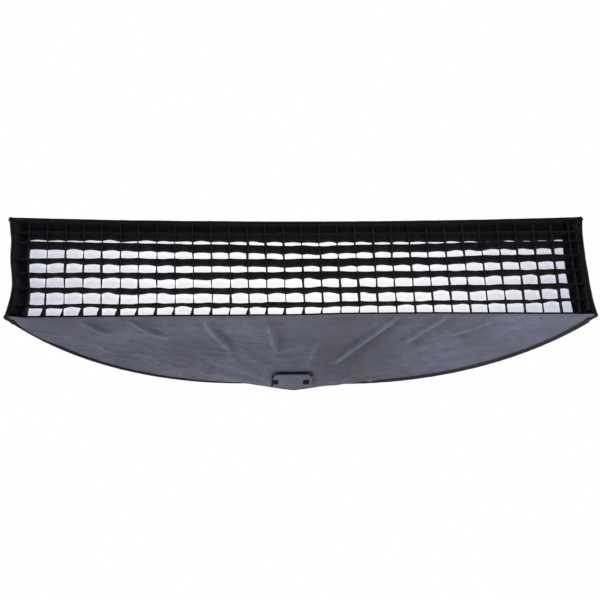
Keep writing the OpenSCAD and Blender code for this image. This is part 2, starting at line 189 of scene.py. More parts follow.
def mix(t, fac, a, b, kind="MIX"):
    n = t.nodes.new("ShaderNodeMix")
    n.data_type = "RGBA"
    n.blend_type = kind
    for sock, v in ((n.inputs[0], fac), (n.inputs[6], a), (n.inputs[7], b)):
        if isinstance(v, (int, float)):
            sock.default_value = v
        elif isinstance(v, tuple):
            sock.default_value = (*v, 1)
        else:
            link(t, v, sock)
    return n.outputs[2]


def shade(c, k):
    return tuple(min(1.0, x * k) for x in c)


def bump(t, height, strength, distance, below=None):
    n = t.nodes.new("ShaderNodeBump")
    n.inputs["Strength"].default_value = strength
    n.inputs["Distance"].default_value = distance
    link(t, height, n.inputs["Height"])
    if below is not None:
        link(t, below, n.inputs["Normal"])
    return n.outputs["Normal"]


def threads(t, coord, axis, pitch):
    sep = t.nodes.new("ShaderNodeSeparateXYZ")
    link(t, coord, sep.inputs[0])
    s = math_node(t, "SINE", math_node(t, "MULTIPLY", sep.outputs[axis], 2 * pi / pitch))
    return math_node(t, "ABSOLUTE", s)


def cloth(name, rgb, axes="XY", pitch=0.0011, rough=0.62, sheen=0.15, spread=0.16, wear=0.10,
          weave=0.35, crush=0.25, spec=0.35, mottle=0.35, dark=0.86, painted_folds=False, glow=None):
    """Woven cloth: two sets of threads, fibre noise, uneven dye and rubbed places; optionally painted light
    and shade along the folds, and a painted glow.
    """
    m, t, b = nodes_of(name)
    tc = t.nodes.new("ShaderNodeTexCoord").outputs["Object"]
    warp = threads(t, tc, axes[0], pitch)
    weft = threads(t, tc, axes[1], pitch * 1.08)
    over = math_node(t, "MAXIMUM", warp, weft)
    fibre = noise_node(t, tc, 900, 2)
    dye = noise_node(t, tc, 5.5, 4, 0.55)
    blotch = noise_node(t, tc, 34, 3, 0.6, 0.4)
    c = ramp(t, dye, [(0.3, shade(rgb, 1 - spread)), (0.7, shade(rgb, 1 + spread))])
    patch = ramp(t, blotch, [(0.36, (0, 0, 0)), (0.64, (1, 1, 1))])
    c = mix(t, math_node(t, "MULTIPLY", patch, mottle), c, shade(rgb, dark))
    between = math_node(t, "MULTIPLY", math_node(t, "SUBTRACT", 1.0, over), 0.45)
    woven = mix(t, between, c, shade(rgb, 0.6))
    rub = ramp(t, noise_node(t, tc, 15, 5, 0.7), [(0.60, (0, 0, 0)), (0.74, (1, 1, 1))])
    rubbed = math_node(t, "MULTIPLY", rub, wear)
    c = mix(t, rubbed, woven, shade(rgb, 1.7))
    if painted_folds:
        # painted light and shade from the mesh's fold value: ridges paler, partly as rubbed cloth and partly
        # as painted highlight; hollows and broad areas darker as painted shade
        fold = t.nodes.new("ShaderNodeAttribute")
        fold.attribute_name = "fold"
        c = mix(t, 1.0, c, math_node(t, "ADD", fold.outputs["Fac"], 1.0), "MULTIPLY")
    link(t, c, b.inputs["Base Color"])
    r = math_node(t, "ADD", math_node(t, "MULTIPLY", blotch, 0.16), rough - 0.08)
    link(t, r, b.inputs["Roughness"])
    b.inputs["Sheen Weight"].default_value = sheen
    b.inputs["Sheen Roughness"].default_value = 0.5
    b.inputs["Specular IOR Level"].default_value = spec
    h = math_node(t, "ADD", over, math_node(t, "MULTIPLY", fibre, 0.5))
    n1 = bump(t, h, weave, 0.00025)
    n2 = bump(t, noise_node(t, tc, 70, 4, 0.55, 0.5), crush, 0.0012, n1)
    link(t, n2, b.inputs["Normal"])
    if glow:
        # painted glow: the cloth itself gives off light, as from a lamp behind it, bright in the middle,
        # cooler towards the ends
        sep = t.nodes.new("ShaderNodeSeparateXYZ")
        link(t, tc, sep.inputs[0])
        away = math_node(t, "ABSOLUTE", math_node(t, "DIVIDE", sep.outputs["X"], 0.75))
        uneven = math_node(t, "MULTIPLY", math_node(t, "SUBTRACT", dye, 0.5), 0.10)
        away = math_node(t, "ADD", away, uneven)
        light = ramp(t, away, [(0.0, glow[0]), (0.55, glow[1]), (1.0, glow[2])])
        link(t, light, b.inputs["Emission Color"])
        b.inputs["Emission Strength"].default_value = glow[3]
    return m


def metal(name, rgb, metallic=1.0, rough=0.3, grain=0.15, scratch=0.25, brushed=None):
    """Metal, or moulded plastic where metallic is 0: fine grain, uneven tone and scratches."""
    m, t, b = nodes_of(name)
    tc = t.nodes.new("ShaderNodeTexCoord").outputs["Object"]
    vector = tc
    if brushed:
        mp = t.nodes.new("ShaderNodeMapping")
        mp.inputs["Scale"].default_value = brushed
        link(t, tc, mp.inputs["Vector"])
        vector = mp.outputs["Vector"]
    fine = noise_node(t, vector, 420, 4, 0.6)
    wide = noise_node(t, tc, 22, 4, 0.6)
    c = ramp(t, wide, [(0.3, shade(rgb, 0.86)), (0.7, shade(rgb, 1.10))])
    mark = ramp(t, noise_node(t, tc, 95, 6, 0.75, 1.2), [(0.62, (0, 0, 0)), (0.68, (1, 1, 1))])
    c = mix(t, math_node(t, "MULTIPLY", mark, scratch), c, shade(rgb, 1.8 if metallic < 0.5 else 0.6))
    link(t, c, b.inputs["Base Color"])
    b.inputs["Metallic"].default_value = metallic
    r = math_node(t, "ADD", math_node(t, "MULTIPLY", fine, 0.18), rough - 0.06)
    link(t, math_node(t, "ADD", r, math_node(t, "MULTIPLY", wide, 0.06)), b.inputs["Roughness"])
    link(t, bump(t, fine, grain, 0.0002), b.inputs["Normal"])
    return m


SLATE = (0.0285, 0.0290, 0.0435)
BLACK = (0.0050, 0.0050, 0.0060)
SOOT = (0.0105, 0.0105, 0.0128)
NYLON = dict(rough=0.50, sheen=0.0, spread=0.30, wear=0.16, crush=0.9, spec=0.16, mottle=0.75, dark=0.72)
MATT = dict(NYLON, rough=0.64, spec=0.06)
DULL = dict(sheen=0.01, spec=0.07, wear=0.35)
GRID = dict(DULL, rough=0.78, weave=0.5, crush=0.6, spread=0.3, mottle=0.6, dark=0.65)
# painted glow of the diffuser: colour in the middle, halfway and at the ends, then strength
PAINTED_GLOW = ((1.0, 1.0, 1.0), (0.90, 0.90, 0.94), (0.56, 0.57, 0.68), 0.80)
M = {
    # the long panels' cloth is painted paler on its crease ridges and darker beside them and over broad
    # areas
    "shell": cloth("shell_nylon", SLATE, "XY", 0.0010, painted_folds=True, **NYLON),
    "shell_end": cloth("shell_nylon_end", SLATE, "XZ", 0.0010, **MATT),
    "silver": cloth("silver_lining", (0.62, 0.63, 0.65), "XY", 0.0010, rough=0.34, sheen=0.0, spread=0.08,
                    wear=0.0, crush=0.6, spec=0.8),
    "lip": cloth("lip_lining", (0.0140, 0.0140, 0.0168), "XY", 0.0011, rough=0.80, mottle=0.6, dark=0.7,
                 **DULL),
    "webbing": cloth("seam_webbing", (0.0050, 0.0050, 0.0058), "XY", 0.0018, rough=0.72, weave=0.7, **DULL),
    "piping": cloth("rim_piping", BLACK, "XZ", 0.0016, rough=0.70, weave=0.6, **DULL),
    "tape": cloth("hook_and_loop", SOOT, "XZ", 0.0014, rough=0.90, weave=1.0, crush=0.5, **DULL),
    "grid": cloth("grid_cloth", SOOT, "XY", 0.0012, **GRID),
    "grid_up": cloth("grid_cloth_upright", SOOT, "YZ", 0.0012, **GRID),
    # the diffuser cloth carries a painted glow, brightest in the middle
    "diffuser": cloth("diffuser_cloth", (0.88, 0.88, 0.90), "XZ", 0.0009, rough=0.55, sheen=0.05,
                      spread=0.015, wear=0.0, weave=0.2, crush=0.15, glow=PAINTED_GLOW),
    "baffle": cloth("baffle_cloth", (0.84, 0.84, 0.83), "XZ", 0.0009, rough=0.60, spread=0.02, wear=0.0,
                    crush=0.2),
    "elastic": cloth("elastic", (0.66, 0.66, 0.65), "XZ", 0.0016, rough=0.70, weave=0.9, wear=0.05),
    "binding": cloth("flap_binding", BLACK, "XY", 0.0016, rough=0.80, weave=0.7, sheen=0.0, spec=0.0),
    "patch": cloth("closing_tab", (0.0045, 0.0042, 0.0080), "XY", 0.0014, rough=0.85, weave=0.9, sheen=0.0,
                   spec=0.0),
    "stitch": cloth("thread", (0.018, 0.018, 0.022), "XY", 0.0005, rough=0.6, sheen=0.02, weave=0.6,
                    spec=0.2),
    "insert": metal("insert_metal", (0.66, 0.67, 0.69), 1.0, 0.32, brushed=(1, 14, 1), scratch=0.15),
    "ring": metal("ring_metal", (0.030, 0.030, 0.033), 0.0, 0.46, grain=0.5, scratch=0.12),
    "plate": metal("plate_metal", (0.045, 0.045, 0.048), 0.3, 0.40, grain=0.4, scratch=0.15),
    "screw": metal("screw_steel", (0.52, 0.52, 0.53), 1.0, 0.30, scratch=0.2),
    "pad": metal("pad_plastic", (0.72, 0.70, 0.62), 0.0, 0.50, grain=0.2, scratch=0.05),
    "knob": metal("knob_plastic", (0.016, 0.016, 0.018), 0.0, 0.48, grain=0.6, scratch=0.08),
    "brass": metal("socket_brass", (0.66, 0.50, 0.24), 1.0, 0.34, brushed=(1, 18, 18), scratch=0.2),
    "rod": metal("rod_steel", (0.42, 0.43, 0.45), 1.0, 0.30, brushed=(0.2, 1, 1), scratch=0.2),
    "rubber": metal("tip_rubber", (0.018, 0.018, 0.018), 0.0, 0.62, grain=0.6, scratch=0.05),
    "stud": metal("stud_metal", (0.68, 0.68, 0.70), 1.0, 0.20, scratch=0.15),
}


# ---------------------------------------------------------------- mesh building
SAG, LOW_LEFT, END_PULL = 0.0055, 0.0055, 0.0085     # how far the rim's middle, lower left and left end move


def settle(p):
    """The front of the box hangs a little: its middle, its lower left side and its left end."""
    x, y, z = p
    g = smooth((-y - 0.30) / 0.12)
    if g <= 0:
        return p
    z -= g * SAG * (1 - (x / FACE_X) ** 2)
    low = smooth((-z - 0.125) / 0.02)
    z -= g * low * LOW_LEFT * smooth((0.22 - x) / 0.30) * smooth((x + 0.79) / 0.05)
    far = smooth((abs(x) - 0.70) / 0.06)
    if x < 0:
        x += g * far * END_PULL * math.exp(-((z + 0.075) / 0.06) ** 2)
    wave = noise.noise(Vector((z * 17, 4.0, 1.0 if x < 0 else 6.0)))
    x += g * far * 0.0016 * wave * smooth((0.165 - abs(z)) / 0.03)
    lip = smooth((abs(z) - 0.125) / 0.02) * smooth((0.78 - abs(x)) / 0.06)
    z += g * lip * 0.0013 * noise.noise(Vector((x * 7, 2.0, 3.0 if z < 0 else 9.0)))
    return x, y, z


def make(name, verts, faces, mats, body, replaces=(), marks=None, outward=None, merge=0.0):
    """A piece from vertices and faces. marks gives a face its material, outward the way it should face."""
    me = bpy.data.meshes.new(name)
    hang = not name.startswith(("pocket", "seam"))
    me.from_pydata([tuple(settle(v)) if hang else tuple(v) for v in verts], [], faces)
    bm = bmesh.new()
    bm.from_mesh(me)
    if merge:
        bmesh.ops.remove_doubles(bm, verts=bm.verts, dist=merge)
    if outward is None:
        bmesh.ops.recalc_face_normals(bm, faces=bm.faces)
    else:
        total = sum(outward(f.calc_center_median()).dot(f.normal) * f.calc_area() for f in bm.faces)
        if total < 0:
            bmesh.ops.reverse_faces(bm, faces=bm.faces)
    if marks:
        for f in bm.faces:
            f.material_index = marks(f)
    for f in bm.faces:
        f.smooth = True
    bm.to_mesh(me)
    bm.free()
    for k in mats if isinstance(mats, (list, tuple)) else [mats]:
        me.materials.append(M[k])
    o = bpy.data.objects.new(name, me)
    bpy.context.scene.collection.objects.link(o)
    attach(o, body)
    if replaces:
        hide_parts(*replaces)
    return o


def thicken(o, thick, offset=-1.0, inner=0):
    s = o.modifiers.new("thick", "SOLIDIFY")
    s.thickness = thick
    s.offset = offset
    s.use_even_offset = True
    s.material_offset = inner
    return o


def surface(f, nu, nv, keep=None):
    """Quads over f(i / nu, j / nv)."""
    verts = [f(i / nu, j / nv) for j in range(nv + 1) for i in range(nu + 1)]
    faces = []
    for j in range(nv):
        for i in range(nu):
            if keep and not keep((i + 0.5) / nu, (j + 0.5) / nv):
                continue
            k = j * (nu + 1) + i
            faces.append((k, k + 1, k + nu + 2, k + nu + 1))
    return verts, faces


def tube(path, frames, section, closed=True, caps=True):
    """Sweeps section, a list of (a, b), along path; frames gives the two cross directions at each point."""
    verts, faces, n = [], [], 0
    for i, p in enumerate(path):
        da, db = frames(i)
        sec = section(i) if callable(section) else section
        for a, b in sec:
            verts.append(p + a * da + b * db)
        n = len(sec)
    loop = n if closed else n - 1
    for i in range(len(path) - 1):
        for j in range(loop):
            k = (j + 1) % n
            faces.append((i * n + j, i * n + k, (i + 1) * n + k, (i + 1) * n + j))
    if caps and closed:
        faces.append(tuple(range(n - 1, -1, -1)))
        faces.append(tuple((len(path) - 1) * n + j for j in range(n)))
    return verts, faces


def joined(parts):
    verts, faces = [], []
    for v, f in parts:
        k = len(verts)
        verts += list(v)
        faces += [tuple(i + k for i in q) for q in f]
    return verts, faces


def pillow(rx, ry, corner, segments=5):
    """Outline of a rounded rectangle, as (x, y)."""
    out = []
    for cx, cy, a0 in ((rx - corner, ry - corner, 0), (corner - rx, ry - corner, 90),
                       (corner - rx, corner - ry, 180), (rx - corner, corner - ry, 270)):
        for k in range(segments + 1):
            a = math.radians(a0 + 90 * k / segments)
            out.append((cx + corner * math.cos(a), cy + corner * math.sin(a)))
    return out


def oval(rx, ry, n):
    """Points round an ellipse."""
    return [(rx * math.cos(2 * pi * j / n), ry * math.sin(2 * pi * j / n)) for j in range(n)]


def strip_section(half, thick, bulge=0.0):
    """Cross section of a flat webbing: rounded edges, slightly crowned."""
    out = []
    for k in range(9):
        a = -half + 2 * half * k / 8
        out.append((a, thick / 2 + bulge * (1 - (a / half) ** 2)))
    out.append((half + thick * 0.35, 0.0))
    for k in range(9):
        a = half - 2 * half * k / 8
        out.append((a, -thick / 2))
    out.append((-half - thick * 0.35, 0.0))
    return out


def stitches(points, normals, length=0.0026, r=0.00028, gap=0.0042):
    """Parts for a line of sewing: short rounded threads, one every gap along the points."""
    parts = []
    pts = [np.array(p) for p in points]
    dist = [0.0]
    for a, b in zip(pts, pts[1:]):
        dist.append(dist[-1] + float(np.linalg.norm(b - a)))
    count = int(dist[-1] / gap)
    k = 0
    for s in range(count):
        d = (s + 0.5) * gap
        while k < len(dist) - 2 and dist[k + 1] < d:
            k += 1
        t = (d - dist[k]) / max(dist[k + 1] - dist[k], 1e-9)
        p = lerp(pts[k], pts[k + 1], t)
        n = unit(lerp(np.array(normals[k]), np.array(normals[k + 1]), t))
        d1 = unit(pts[k + 1] - pts[k])
        side = np.cross(d1, n)
        rows = []
        for q, rr, lift in ((-0.5, 0.25, -0.6), (-0.3, 1.0, 0.5), (0.3, 1.0, 0.5), (0.5, 0.25, -0.6)):
            c = p + d1 * q * length + n * (lift * r)
            turns = (0, pi / 2, pi, 3 * pi / 2)
            rows.append([c + (side * math.cos(a) + n * math.sin(a)) * rr * r for a in turns])
        v = [x for row in rows for x in row]
        f = [(4 * i + j, 4 * i + (j + 1) % 4, 4 * i + 4 + (j + 1) % 4, 4 * i + 4 + j)
             for i in range(3) for j in range(4)]
        f += [(3, 2, 1, 0), (12, 13, 14, 15)]
        parts.append((v, f))
    return parts


def flipped(v, f, x=False, z=False):
    out = [vec(-p[0] if x else p[0], p[1], -p[2] if z else p[2]) for p in v]
    if x != z:
        f = [tuple(reversed(q)) for q in f]
    return out, f


SIDES = (("right", False), ("left", True))
LEVELS = (("upper", False), ("lower", True))


# ---------------------------------------------------------------- shell panels
def segment(p, a, b):
    """Distance of p from the segment a-b, how far along that is, and 1 on the +X side or -1 on the other."""
    ax, ay = a
    bx, by = b
    dx, dy = bx - ax, by - ay
    t = ((p[0] - ax) * dx + (p[1] - ay) * dy) / (dx * dx + dy * dy)
    c = min(max(t, 0.0), 1.0)
    side = p[0] - ax - t * dx
    return math.hypot(p[0] - ax - c * dx, p[1] - ay - c * dy), c, math.copysign(1, side)


# long soft creases in the cloth: (x, forward) at both ends, and how strong each is
CREASE_RISE = 2.4
CREASES = {
    "lower": [((0.262, 0.474), (0.105, 0.165), 0.0042), ((0.392, 0.470), (0.290, 0.300), 0.0034),
              ((-0.095, 0.440), (-0.062, 0.250), 0.0030), ((-0.270, 0.450), (-0.190, 0.255), 0.0032),
              ((0.520, 0.440), (0.420, 0.360), 0.0026), ((-0.470, 0.460), (-0.360, 0.330), 0.0026),
              ((0.050, 0.300), (0.030, 0.160), 0.0018), ((-0.600, 0.460), (-0.520, 0.380), 0.0022)],
    "upper": [((0.310, 0.450), (0.150, 0.200), 0.0034), ((-0.205, 0.455), (-0.110, 0.240), 0.0034),
              ((0.030, 0.440), (0.020, 0.280), 0.0026), ((-0.450, 0.455), (-0.350, 0.330), 0.0028),
              ((0.540, 0.450), (0.430, 0.340), 0.0026)],
    "end": [((0.05, 0.40), (0.02, 0.25), 0.003), ((-0.06, 0.42), (-0.03, 0.30), 0.003)],
}


def panel_relief(x, w, u, v, creases, seed):
    """How far the cloth stands off its smooth form, outward."""
    edge = min(1.0, (1 - abs(u)) / 0.10) * min(1.0, (1 - v) / 0.06)
    fade = smooth(v / 0.06)
    d = 0.0050 * fbm(x * 5 + seed, w * 5, seed, 3) * edge
    ang = math.atan2(x, w + 0.02)
    rad = math.hypot(x, w)
    fold = math.sin(ang * 23 + 3.0 * fbm(x * 4, w * 4, seed + 3, 2))
    d += 0.0014 * fold * math.exp(-((rad - 0.20) / 0.22) ** 2) * edge * fade
    for a, b, deep in creases:
        dist, c, side = segment((x, w), a, b)
        size = math.sin(pi * min(max(c, 0.04), 0.96)) ** 0.6
        deep *= CREASE_RISE
        d += deep * size * math.exp(-(dist / 0.009) ** 2)
        if side > 0:
            d -= 0.8 * deep * size * math.exp(-((dist - 0.024) / 0.016) ** 2)
            d -= 0.5 * deep * size * math.exp(-((dist - 0.055) / 0.035) ** 2)
    # crumpled places, and short puckers along the sewn seams
    patch = smooth((noise.noise(Vector((x * 3.1 + seed, w * 3.1, 2.0))) - 0.02) * 4)
    ridge = 1 - abs(noise.noise(Vector((x * 16 + w * 9, w * 26 - x * 7, seed)))) * 2.4
    d += 0.0034 * max(ridge, 0) ** 2 * patch * edge * fade
    near = math.exp(-((1 - abs(u)) * 0.5 / 0.045) ** 2)
    pucker = math.sin(w * 260 + x * 90 + 4 * fbm(x * 9, w * 9, seed + 9, 2))
    d += 0.0011 * near * pucker * smooth((1 - abs(u)) / 0.02)
    near = math.exp(-((1 - v) / 0.05) ** 2)
    d += 0.0010 * near * math.sin(x * 240 + 5 * fbm(x * 8, 0, seed + 5, 2)) * min(1.0, (1 - v) / 0.02)
    d += 0.0008 * fbm(x * 38, w * 38, seed + 1, 2) * edge
    # it lies flat round the access flap
    off = math.hypot(max(abs(x - FLAP_X) - 0.062, 0), max(abs(w - 0.079) - 0.052, 0))
    d *= lerp(0.15, 1.0, smooth(off / 0.05))
    # the baffle's straps inside stop it from sinking far
    d = max(d, -0.0034)
    # over the lip the tapes keep the cloth from sinking in
    lip = smooth((w - 0.395) / 0.02)
    return lerp(d, 0.5 * (d + abs(d)) * min(1.0, (1 - v) / 0.03), lip)


def painted_fold_tone(x, w, creases):
    """How much paler (above 0) or darker (below 0) the cloth is painted at a place on a long panel: crease
    ridges paler, partly as rubbed cloth and partly as painted highlight; painted shade beside them and over
    two broad areas.
    """
    v = 0.0
    for a, b, deep in creases:
        dist, c, side = segment((x, w), a, b)
        size = deep / 0.004 * smooth(min(c, 1 - c) / 0.12 + 0.25)
        # painted highlight along the ridge, painted shade beside it, wider on the +X side
        v += 0.75 * size * math.exp(-(dist / 0.0055) ** 2)
        if side > 0:
            v -= 0.26 * size * math.exp(-((dist - 0.026) / 0.022) ** 2)
        else:
            v -= 0.14 * size * math.exp(-((dist - 0.018) / 0.010) ** 2)
    v += 0.10 * fbm(x * 14, w * 20 - x * 8, 5.0, 3)
    # painted shade: a broad darker area in the middle and one on the left
    v -= 0.28 * math.exp(-((x - 0.13) / 0.16) ** 2) + 0.10 * math.exp(-((x + 0.50) / 0.12) ** 2)
    return max(-0.5, min(v, 0.9))


# the rear edge of a long panel runs straight from the ring to where its sleeves begin
APRON = rod_angle(0.0356)
REAR = vec(0.026, -0.009, 0.0832)


def long_base(u, v):
    w = lerp(0.009, DEPTH - 0.0055, v ** 1.25)
    e1 = seam_point(APRON, vec(-1, 0, 0), 0.0042)
    if w > -e1[1]:
        return upper_point(u, rod_angle_of_seam(w))
    k = (w - 0.009) / (-e1[1] - 0.009)
    e = lerp(REAR, e1, k)
    mid = centre_z(w) + 0.0014 * (1 - k)
    return vec(u * e[0], -w, e[2] + (mid - e[2]) * (1 - u * u))


def rod_angle_of_seam(w):
    """The rod angle at which the long panel's seam lies w forward of the mounting plane."""
    a = rod_angle(w)
    for _ in range(3):
        a += (w + seam_point(a, vec(-1, 0, 0), 0.0042)[1]) / (RAD * math.sin(a))
    return a


def end_base(u, v):
    return right_point(u, lerp(START + turn(0.004), rod_angle(DEPTH - 0.0055), v))


def panel_mesh(base, across, nu, nv, creases, seed, skirt):
    def f(i, j):
        u = -1 + 2 * i
        row = j * (nv + skirt)
        if row < skirt - 1e-9:                      # the cloth turns in over the ring
            e = base(u, 0.0)
            k = smooth((0.95 - abs(u)) / 0.35) * (1 - row / skirt)
            th = math.atan2(e[2], e[0])
            goal = vec(0.0813 * math.cos(th), -0.0125, 0.0813 * math.sin(th))
            return lerp(e, goal, k)
        v = (row - skirt) / nv
        p = base(u, v)
        du = base(min(u + 0.01, 1), v) - base(max(u - 0.01, -1), v)
        dv = base(u, min(v + 0.01, 1)) - base(u, max(v - 0.01, 0))
        n = unit(np.cross(du, dv))
        if n.dot(vec(p[0] * across[0], 0, p[2] * across[2])) < 0:
            n = -n
        lateral = p[0] if across[2] else p[2]
        return p + n * panel_relief(lateral, -p[1], u, v, creases, seed)

    return surface(f, nu, nv + skirt)


def flap_tilt():
    return math.atan((FRONT_Z - BACK_Z) / (DEPTH - 0.022))


def flap_place(x, fwd, up, lower=False):
    """A point given on the flap: across, forward from its hinge line, and outward."""
    c, s = math.cos(flap_tilt()), math.sin(flap_tilt())
    p = vec(x + FLAP_X, -FLAP_HINGE - fwd * c + up * s, centre_z(FLAP_HINGE) + FLAP_GAP + fwd * s + up * c)
    if lower:
        p[2] = -p[2]
    return p


HOLE_X, HOLE_Y, HOLE_MID = 0.046, 0.028, 0.040       # half width, half length and middle of the hand hole


def on_hole(p):
    """Position of a point relative to the hand hole's middle, across and forward."""
    c = math.cos(flap_tilt())
    return p[0] - FLAP_X, (-p[1] - FLAP_HINGE) / c - HOLE_MID


def in_hole(p, grow=0.0):
    x, y = on_hole(p)
    rx, ry, r = HOLE_X + grow, HOLE_Y + grow, 0.010
    dx, dy = max(abs(x) - rx + r, 0), max(abs(y) - ry + r, 0)
    return math.hypot(dx, dy) < r


def in_lip(f):
    return 2 if f.calc_center_median().y < -0.405 else 0


for level, low in LEVELS:
    verts, faces = panel_mesh(long_base, (0, 0, 1), 230, 84, CREASES[level], 3.1 if low else 8.7, 0)
    # open the hand hole, then pull its ragged border onto the cut line
    inside = [in_hole(p) and p[1] < -0.03 for p in verts]
    faces = [q for q in faces if not any(inside[k] for k in q)]
    outline = [(x, y) for x, y in pillow(HOLE_X, HOLE_Y, 0.010, 4)]
    ring = []
    for k, (x0, y0) in enumerate(outline):
        x1, y1 = outline[(k + 1) % len(outline)]
        ring += [(lerp(x0, x1, i / 8), lerp(y0, y1, i / 8)) for i in range(8)]
    used = {}
    for q in faces:
        for i in range(4):
            e = tuple(sorted((q[i], q[(i + 1) % 4])))
            used[e] = used.get(e, 0) + 1
    rim = {k for e, n in used.items() if n == 1 for k in e if in_hole(verts[k], 0.012)}
    c = math.cos(flap_tilt())
    for k in rim:
        x, y = on_hole(verts[k])
        bx, by = min(ring, key=lambda q: (q[0] - x) ** 2 + (q[1] - y) ** 2)
        w = (by + HOLE_MID) * c + FLAP_HINGE
        verts[k] = vec(bx + FLAP_X, -w, verts[k][2])
    live = sorted({k for q in faces for k in q})
    index = {k: i for i, k in enumerate(live)}
    verts = [verts[k] for k in live]
    faces = [tuple(index[k] for k in q) for q in faces]
    verts, faces = flipped(verts, faces, z=low)
    o = make(f"{level}_shell", verts, faces, ["shell", "silver", "shell", "lip"], "softbox",
             [f"{level}_panel"], outward=lambda q, s=(-1 if low else 1): Vector((0, 0, s)), marks=in_lip)
    # painted light and shade along the creases, kept on the mesh for the shell's colour
    fold = o.data.attributes.new("fold", "FLOAT", "POINT")
    for k, q in enumerate(o.data.vertices):
        fold.data[k].value = painted_fold_tone(q.co.x, -q.co.y, CREASES[level])
    thicken(o, 0.0011, -1, inner=1)
    # binding round the hand hole
    path, nrm = [], []
    for x, y in ring + ring[:1]:
        fwd = y + HOLE_MID
        p = flap_place(x, fwd, 0.0007 - FLAP_GAP, low)
        path.append(p)
        nrm.append(vec(0, -math.sin(flap_tilt()), math.cos(flap_tilt()) * (-1 if low else 1)))

    def frames(i, path=path, nrm=nrm):
        t = unit(path[min(i + 1, len(path) - 1)] - path[max(i - 1, 0)])
        return unit(np.cross(t, nrm[i])), nrm[i]

    v, f = tube(path, frames, strip_section(0.0045, 0.0014, 0.0004))
    make(f"{level}_hole_binding", v, f, "binding", "softbox")

for side, flip in SIDES:
    verts, faces = panel_mesh(end_base, (1, 0, 0), 40, 110, CREASES["end"], 5.5 if flip else 1.3, 4)
    verts, faces = flipped(verts, faces, x=flip)
    o = make(f"{side}_shell", verts, faces, ["shell_end", "silver", "shell_end", "lip"], "softbox",
             [f"{side}_panel"],
             outward=lambda q, s=(-1 if flip else 1): Vector((s, 0.4, 0)), marks=in_lip)
    thicken(o, 0.0011, -1, inner=1)


# ---------------------------------------------------------------- seam sleeves and corner pockets
def sleeve_mesh(roll, half, thick, seed, facing=None):
    """The binding along a rod. It lies rolled by an angle round the rod, or turned towards facing."""
    a0, a1 = START + turn(0.030), END - turn(0.033)
    steps = 150
    path, dirs = [], []
    for i in range(steps + 1):
        a = lerp(a0, a1, i / steps)
        p = rod_point(a)
        t = rod_tangent(a)
        n = unit(into_panel(a, vec(-1, 0, 0)) + into_panel(a, vec(0, 0, -1)))   # into the box
        side = unit(np.cross(t, n))
        s = RAD * (a - a0)
        wob = 0.10 * math.sin(s * 55 + seed) + 0.22 * fbm(s * 9, seed, 0, 2)
        q = roll + wob
        da = side * math.cos(q) + n * math.sin(q)
        db = -side * math.sin(q) + n * math.cos(q)
        if facing is not None:
            da = unit(np.cross(t, facing) + 0.15 * wob * facing)
            db = unit(np.cross(da, t))
        p = p + db * 0.0004 * fbm(s * 40, seed, 2, 2)
        path.append(p)
        dirs.append((da, db))

    def section(i):
        k = 1 + 0.06 * fbm(i * 0.35, seed, 4, 2)
        out = []
        for j in range(20):
            a = 2 * pi * j / 20
            ca, sa = math.cos(a), math.sin(a)
            fat = thick * (0.42 + 0.58 * abs(sa) ** 0.8)
            wide = half * k * math.copysign(abs(ca) ** 0.85, ca)
            out.append((wide, math.copysign(fat * abs(sa) ** 0.9, sa)))
        return out

    return tube(path, lambda i: dirs[i], section)


def place_all(parts, flip, low):
    return [flipped(v, f, x=flip, z=low) for v, f in parts]


for level, low in LEVELS:
    for side, flip in SIDES:
        # the lower right binding has rolled outward and shows its width; the left one lies edge on
        roll, half = {("lower", "right"): (0.25, 0.0082), ("lower", "left"): (1.25, 0.0050),
                      ("upper", "right"): (0.8, 0.0056), ("upper", "left"): (0.6, 0.0056)}[(level, side)]
        facing = vec(-0.06, -0.78, 0.62) if (level, side) == ("lower", "right") else None
        v, f = sleeve_mesh(roll, half, 0.0035, 2.0 if flip else 5.0, facing)
        v, f = flipped(v, f, x=flip, z=low)
        make(f"seam_{level}_{side}", v, f, "webbing", "softbox", [f"sleeve_{level}_{side}"])
        # corner pocket: a sewn sock that narrows to a blunt point
        a0 = END - turn(0.036)
        p0, t0 = rod_point(a0), rod_tangent(END - turn(0.018))
        n0 = unit(into_panel(a0, vec(-1, 0, 0)) + into_panel(a0, vec(0, 0, -1)))
        s0 = unit(np.cross(t0, n0))
        along = (0.0, 0.0012, 0.004, 0.010, 0.018, 0.026, 0.032, 0.036, 0.0385, 0.0402, 0.0412)
        path = [p0 + t0 * x for x in along]
        size = [1.00, 1.10, 1.12, 1.08, 1.05, 1.06, 1.14, 1.18, 1.08, 0.80, 0.30]

        def section(i, size=size):
            out = []
            for j in range(24):
                a = 2 * pi * j / 24
                r = 0.0059 * size[i] * (1 + 0.04 * math.sin(3 * a + i) + 0.03 * math.sin(7 * a + 2 * i))
                out.append((r * math.cos(a) * 1.05, r * math.sin(a) * 0.95))
            return out

        parts = [tube(path, lambda i: (s0, n0), section)]
        for at in (0.0030, 0.0300):                  # two bands of binding round the sock
            band = [p0 + t0 * (at + x) for x in (-0.0016, -0.0012, 0.0012, 0.0016)]
            rings = [oval(rr, rr * 0.95, 24) for rr in (0.0060, 0.0070, 0.0070, 0.0060)]
            parts.append(tube(band, lambda i: (s0, n0), lambda i, rings=rings: rings[i]))
        v, f = joined(place_all(parts, flip, low))
        make(f"pocket_{level}_{side}", v, f, "webbing", "softbox",
             [f"corner_pocket_{level}_{side}"])


